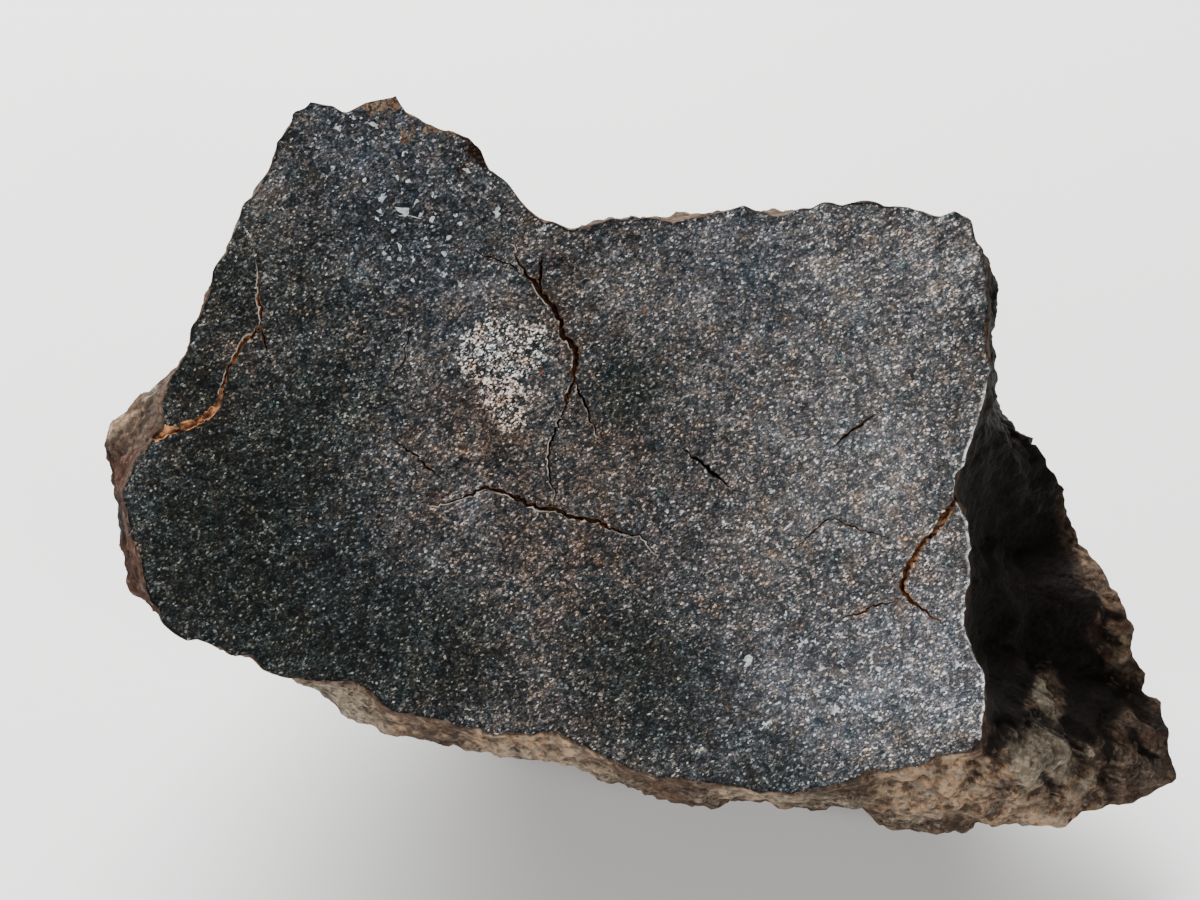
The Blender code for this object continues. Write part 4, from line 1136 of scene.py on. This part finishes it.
def polished_face_material(finish):
    """Winonaite sawn and polished: dark silicate with fine bright grains of iron-nickel and sulphide."""
    material, add, place = new_material("polished_winonaite")
    coarse, rust, dark, bright, cool, lapped, flecked, crusted, crumbled, lip, glint, grime = (
        add("ShaderNodeAttribute", attribute_name=name, give="Fac")
        for name in (*FACE_PATCHES, "lip", "glint", "grime"))

    # Grains 0.135 and 0.085 mm wide, a little drawn out by the lapping.
    turned = add("ShaderNodeMapping", place, None, (-FACE_SLOPE, 0.0, math.radians(-LAPPING_TURN)))
    drawn = add("ShaderNodeMapping", turned, None, None, (0.72, 1.0, 1.0))
    chance, warmth, hue = add("split", add("cells", drawn, 0.135)[1])
    small_chance, small_warmth, _ = add("split", add("cells", drawn, 0.085)[1])
    clump = add("split", add("cells", place, 0.34)[1])[0]

    # The logarithm of a grain's brightness: an even spread, and a few grains far above it.
    patch = add("range", weighted(add, coarse, (add("noise", place, 0.8, 3, 0.6), 1.5)), 1.05, 1.3)
    spread = weighted(
        add, -3.15, (add("noise", place, 0.27, 2, 0.6), 3.4), (chance, 1.75), (small_chance, 1.15))
    spread = add("MULTIPLY", spread, weighted(add, 1.08, (patch, 0.7)))
    spread = add("MULTIPLY", spread, weighted(add, 1.0, (cool, -0.2), (bright, -0.22)))
    rare = add("POWER", chance, weighted(add, 12.0, (patch, -8.0)))

    # It also goes by place, with clouds, the patches, partly painted sheen and shade, and the lapping lines.
    lined = add("ShaderNodeMapping", turned, None, None, (0.07, 1.0, 1.0))
    lines = add("range", add("noise", lined, 0.3, 2, 0.6), 0.35, 0.68)
    level = add("EXPONENT", weighted(
        add, add("ADD", spread, -2.92), (rare, weighted(add, 2.0, (patch, 0.8))),
        (add("POWER", small_chance, 10.0), 1.1), (weighted(add, -1.2, (clump, 2.2)), patch),
        (add("noise", place, 3.4, 3, 0.6), 2.7), (add("noise", place, 0.7), 2.7),
        (bright, 0.9), (dark, -1.45), (patch, 0.85), (rust, -0.05), (grime, -1.5), (cool, 0.2),
        (lines, weighted(add, 0.15, (lapped, 1.5)))))

    # Bluish where dark and warm where bright, brown round weathered metal, each grain a little its own way.
    tone = layered(add, "mix", finish.silicate, (level, 0.6, 3.0, 1.0, "#373534"))
    tone = add("mix", add("MULTIPLY", dark, 0.8), tone, "#323835")
    tone = add("mix", add("MULTIPLY", cool, 0.85), tone, "#31353b")
    colour = add("mix", 1.0, add("scaled", tone, level), (0.93, 0.93, 0.93), blend_type="DARKEN")
    hues = add("noise", place, 1.4, 3, 0.65)
    colour = layered(
        add, "tint", colour,
        (add("noise", place, 1.7, 3, 0.6), 0.3, 0.7, add("MULTIPLY", rust, 0.9), (1.0, 0.7, 0.52)),
        (hues, 0.5, 0.68, 1.0, (1.0, 0.85, 0.72)), (hues, 0.46, 0.32, 1.0, (0.8, 0.95, 1.0)),
        (warmth, 0.5, 0.9, 0.7, (1.0, 0.87, 0.66)), (small_warmth, 0.7, 1.0, 0.7, (1.0, 0.82, 0.8)),
        (hue, 0.35, 0.05, 0.7, (0.74, 0.87, 1.0)))

    # Stray pale flecks, pale lips of cracks, the painted glint along the edge, and crust and crumbs at the
    # edge.
    stray, stray_tone, _ = add("split", add("cells", place, 0.3)[1])
    stray = weighted(add, stray, (add("noise", place, 0.2), 0.12), (flecked, 0.06))
    lip_share = add("range", add("noise", place, 1.1, 3, 0.6), 0.4, 0.62, 0.0, 0.9)
    crust = weighted(add, crusted, (add("noise", place, 0.5, 3, 0.6), 1.2))
    crust_tone = layered(
        add, "mix", "#241812", (add("noise", place, 0.26, 3, 0.7), 0.38, 0.62, 1.0, "#776858"),
        (add("noise", place, 0.9), 0.5, 0.6, 0.4, "#553525"))
    crumb = weighted(add, crumbled, (add("noise", place, 0.4, 3, 0.6), 1.2))
    crumb_tone = layered(
        add, "mix", "#0d0806", (add("noise", place, 0.22, 3, 0.7), 0.5, 0.66, 1.0, "#463122"))
    colour = layered(
        add, "mix", colour, (stray, 1.078, 1.09, 1.0, add("mix", stray_tone, "#666f77", "#c4cacc")),
        (lip, 0.4, 0.8, lip_share, "#a49c92"),
        (add("noise", place, 0.55, 3, 0.7), 0.4, 0.58, glint, "#e9ebec"),
        (crust, 1.0, 1.15, 1.0, crust_tone), (crumb, 0.95, 1.1, 1.0, crumb_tone))

    metal = add("range", level, 2.2, 7.0, 0.0, add("range", crust, 1.0, 1.15, 1.0, 0.0))
    return finished(
        material, Base_Color=colour, Metallic=add("MULTIPLY", metal, weighted(add, 0.6, (patch, -0.35))),
        Roughness=weighted(add, add("range", lines, 0.0, 1.0, 0.34, 0.4), (metal, -0.05)),
        Normal=add("bump", weighted(add, chance, (lines, 0.3)), 0.3, 0.02 * MM),
        IOR=1.66, Specular_IOR_Level=0.1)


def weathered_crust_material(finish):
    """Desert-weathered crust: brown iron-stained rock, tan soil in the hollows, black varnish and painted
    shadow in places.
    """
    material, add, place = new_material("weathered_crust")
    varnish_and_painted_shade, soil, iron, pale, relief, crevice = (
        add("ShaderNodeAttribute", attribute_name=name, give="Fac")
        for name in (*CRUST_PATCHES, "relief", "crevice"))

    # Blotches 4 mm wide, crumbs 1 and 0.5 mm wide, and mineral grains 0.35 mm wide.
    broad, middle = add("noise", place, 4.2, 4, 0.6), add("noise", place, 1.1, 3, 0.6)
    fine, mottle = add("noise", place, 0.35, 2, 0.6), add("noise", place, 0.5, 3, 0.6)
    chance, warmth, shade = add("split", add("cells", place, 0.33)[1])
    crumb, crumb_colour = add("cells", place, 0.5)

    soil_tone = layered(
        add, "mix", finish.soil, (mottle, 0.4, 0.6, 1.0, "#a17f60"),
        (add("noise", place, 1.5, 4, 0.65), 0.48, 0.62, 1.0, "#523f30"),
        (add("noise", place, 1.2, 4, 0.65), 0.5, 0.64, 0.7, "#7f786d"))
    pale_tone = layered(add, "mix", "#6c6355", (mottle, 0.4, 0.62, 1.0, "#8f8473"))
    # Where varnish lies, and where shadow is painted on the right flank, the crust goes near black.
    varnish_and_shade = weighted(add, varnish_and_painted_shade, (broad, 0.6), (middle, 0.5))
    bare = add("range", varnish_and_shade, 0.81, 1.07, 1.0, 0.05)
    colour = layered(
        add, "mix", "#33271f", (broad, 0.32, 0.68, 1.0, finish.crust),
        (middle, 0.42, 0.7, 1.0, "#5d4d3f"), (fine, 0.52, 0.3, 0.7, "#1d1613"),
        (add("noise", place, 2.3, 3), 0.54, 0.72, 0.3, "#4c3326"),
        (add("noise", place, 3.1, 3), 0.52, 0.7, 0.4, "#4b4640"),
        (weighted(add, soil, (middle, 0.8)), 0.6, 0.95, 0.8, soil_tone),
        (weighted(add, pale, (fine, 0.9)), 0.65, 1.0, 0.75, pale_tone),
        (weighted(add, iron, (middle, 0.8)), 0.55, 1.05, 0.85, "#3a2219"),
        # Painted shade in the gaps between the crumbs.
        (varnish_and_shade, 0.81, 1.07, 0.95, "#080605"), (crumb, 0.42, 0.72, 0.28, "#1a120d"))
    crumb_shade = add("MULTIPLY", add("split", crumb_colour)[0], 0.22)
    colour = add("tint", crumb_shade, colour, (0.5, 0.47, 0.45))

    # Painted shade darkens hollows and crevices, high places are worn paler, and single grains are pale or
    # black.
    colour = layered(
        add, "mix", colour, (relief, 0.0, -0.42, 0.8, "#120c09"), (crevice, 0.15, 0.75, 0.9, "#0c0806"),
        (relief, 0.12, 0.55, add("MULTIPLY", bare, 0.35), "#82725f"),
        (chance, 0.8, 1.0, add("MULTIPLY", bare, 0.16), "#8f8270"), (warmth, 0.7, 1.0, 0.5, "#120d0b"))
    height = weighted(
        add, fine, (add("noise", place, 0.16, 2, 0.6), 0.5), (crumb, -0.9), (shade, 0.12))
    return finished(
        material, Base_Color=colour, Roughness=add("range", varnish_and_shade, 0.81, 1.15, 0.9, 0.7),
        Normal=add("bump", height, 0.8, 0.16 * MM), IOR=1.5, Specular_IOR_Level=0.12)


def fracture_filling_material():
    """Rust that fills the cracks: dark reddish brown and dull, orange tan where it is thick."""
    material, add, place = new_material("fracture_rust")
    tan = add("ShaderNodeAttribute", attribute_name="tan", give="Fac")
    shade = add("noise", place, 0.5, 3, 0.6)
    deep = layered(add, "mix", "#0e0806", (shade, 0.35, 0.65, 1.0, "#38221a"))
    light = layered(add, "mix", "#5f3d28", (shade, 0.35, 0.65, 1.0, "#c08a5e"))
    thick = add("MULTIPLY", tan, add("range", add("noise", place, 0.9), 0.3, 0.6, 0.25, 1.6))
    return finished(
        material, Base_Color=add("mix", thick, deep, light), Roughness=0.9, IOR=1.5, Specular_IOR_Level=0.15)


# Finishes of the flecks: name, pattern (size in mm, detail, start, full), colours, metallic, roughness.
FLECK_FINISHES = (
    # Polished iron-nickel: pale, slightly blue grey, with a soft sheen from the polish.
    ("kamacite_fleck", (0.3, 3, 0.35, 0.65), "#9aa2a6", "#d2d6d6", 0.4, 0.42),
    # Troilite: bronze-tinged grey sulphide with a dull metallic sheen.
    ("troilite_fleck", (0.3, 2, 0.3, 0.7), "#9a9480", "#c0b89c", 0.4, 0.45),
    # Metal grains gone to rust: warm orange brown and dull.
    ("rust_fleck", (0.25, 2, 0.35, 0.65), "#361c11", "#82472a", 0.0, 0.8),
)


def fleck_material(name, pattern, dark, light, metallic, roughness):
    material, add, place = new_material(name)
    size, detail, start, full = pattern
    colour = layered(add, "mix", dark, (add("noise", place, size, detail), start, full, 1.0, light))
    return finished(material, Base_Color=colour, Metallic=metallic, Roughness=roughness)


class STONE_OT_end_cut(Operator):
    """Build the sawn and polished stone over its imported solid"""

    bl_idname = "stone.end_cut"
    bl_label = "Build the end cut"

    def execute(self, context):
        scene = context.scene
        base = StoneBuilder(scene.stone_settings).object("end_cut_base")
        stone = applied_relief(base, scene.crust_settings, [
            weathered_crust_material(scene.finish_settings), polished_face_material(scene.finish_settings),
            fracture_filling_material(), *(fleck_material(*row) for row in FLECK_FINISHES)])
        if len(stone.data.polygons) > MOST_TRIANGLES:
            raise RuntimeError("the stone has too many triangles")
        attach(stone, "root")
        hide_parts(NODE)
        return {"FINISHED"}


# Soft lights of the stage: (name, place (u, v, w) in mm, width in mm, power in watts).
SOFTBOXES = (
    ("key_from_lower_left", (-420.0, -330.0, -330.0), 200.0, 5.5),
    ("gloss_from_right", (200.0, -60.0, -430.0), 140.0, 0.7),
    ("fill_from_behind", (-120.0, 610.0, 40.0), 700.0, 24.0),
)
FRAME_WIDTH = 90.36    # how much of the face plane the camera takes in, in mm
FLOOR_REACH = 1.5      # half the width of the floor, in metres


class STONE_OT_stage(Operator):
    """Set the pale floor, the soft lights and the camera"""

    bl_idname = "stone.stage"
    bl_label = "Set the stage"

    def execute(self, context):
        shape = bmesh.new()
        bmesh.ops.create_grid(shape, x_segments=1, y_segments=1, size=FLOOR_REACH)
        floor = object_from(shape, "floor")
        paper, _, _ = new_material("white_backdrop_paper")
        floor.data.materials.append(finished(paper, Base_Color="#f0f0ee", Roughness=0.9))

        world = bpy.data.worlds.new("studio")
        world.use_nodes = True
        background = world.node_tree.nodes["Background"]
        feed(background.inputs["Color"], "#f4f5f7")
        feed(background.inputs["Strength"], 0.1)
        context.scene.world = world

        for name, place, width, power in SOFTBOXES:
            light = bpy.data.lights.new(name, "AREA")
            light.shape, light.size, light.energy = "DISK", width * MM, power
            box = linked(bpy.data.objects.new(name, light))
            box.location = to_stone_frame(place)
            box.rotation_euler = (FACE_ORIGIN * MM - box.location).to_track_quat("-Z", "Y").to_euler()

        camera = bpy.data.cameras.new("camera")
        camera.sensor_width = 36.0
        camera.lens = camera.sensor_width * VIEW_DISTANCE / FRAME_WIDTH
        camera.clip_start = 0.01
        shot = linked(bpy.data.objects.new("camera", camera))
        turned = Matrix((AXIS_U, AXIS_V, -AXIS_W)).transposed().to_4x4()
        shot.matrix_world = Matrix.Translation((FACE_ORIGIN - AXIS_W * VIEW_DISTANCE) * MM) @ turned
        context.scene.camera = shot
        return {"FINISHED"}


class STONE_PT_panel(Panel):
    """Everything that builds the end cut"""

    bl_idname = "STONE_PT_panel"
    bl_label = "End cut"
    bl_space_type = "VIEW_3D"
    bl_region_type = "UI"
    bl_category = "End cut"

    def draw(self, context):
        for group in SETTINGS:
            box = self.layout.box()
            for name in SETTINGS[group].__annotations__:
                box.prop(getattr(context.scene, group), name)
        self.layout.operator(STONE_OT_end_cut.bl_idname)
        self.layout.operator(STONE_OT_stage.bl_idname)


SETTINGS = {
    "stone_settings": StoneSettings, "crust_settings": CrustSettings, "finish_settings": FinishSettings}
CLASSES = (*SETTINGS.values(), STONE_OT_end_cut, STONE_OT_stage, STONE_PT_panel)


def register():
    for kind in CLASSES:
        bpy.utils.register_class(kind)
    for name, kind in SETTINGS.items():
        setattr(bpy.types.Scene, name, PointerProperty(type=kind))


def unregister():
    for name in SETTINGS:
        delattr(bpy.types.Scene, name)
    for kind in reversed(CLASSES):
        bpy.utils.unregister_class(kind)


def main():
    register()
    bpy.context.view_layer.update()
    bpy.ops.stone.end_cut()
    bpy.ops.stone.stage()


if __name__ == "__main__":
    main()
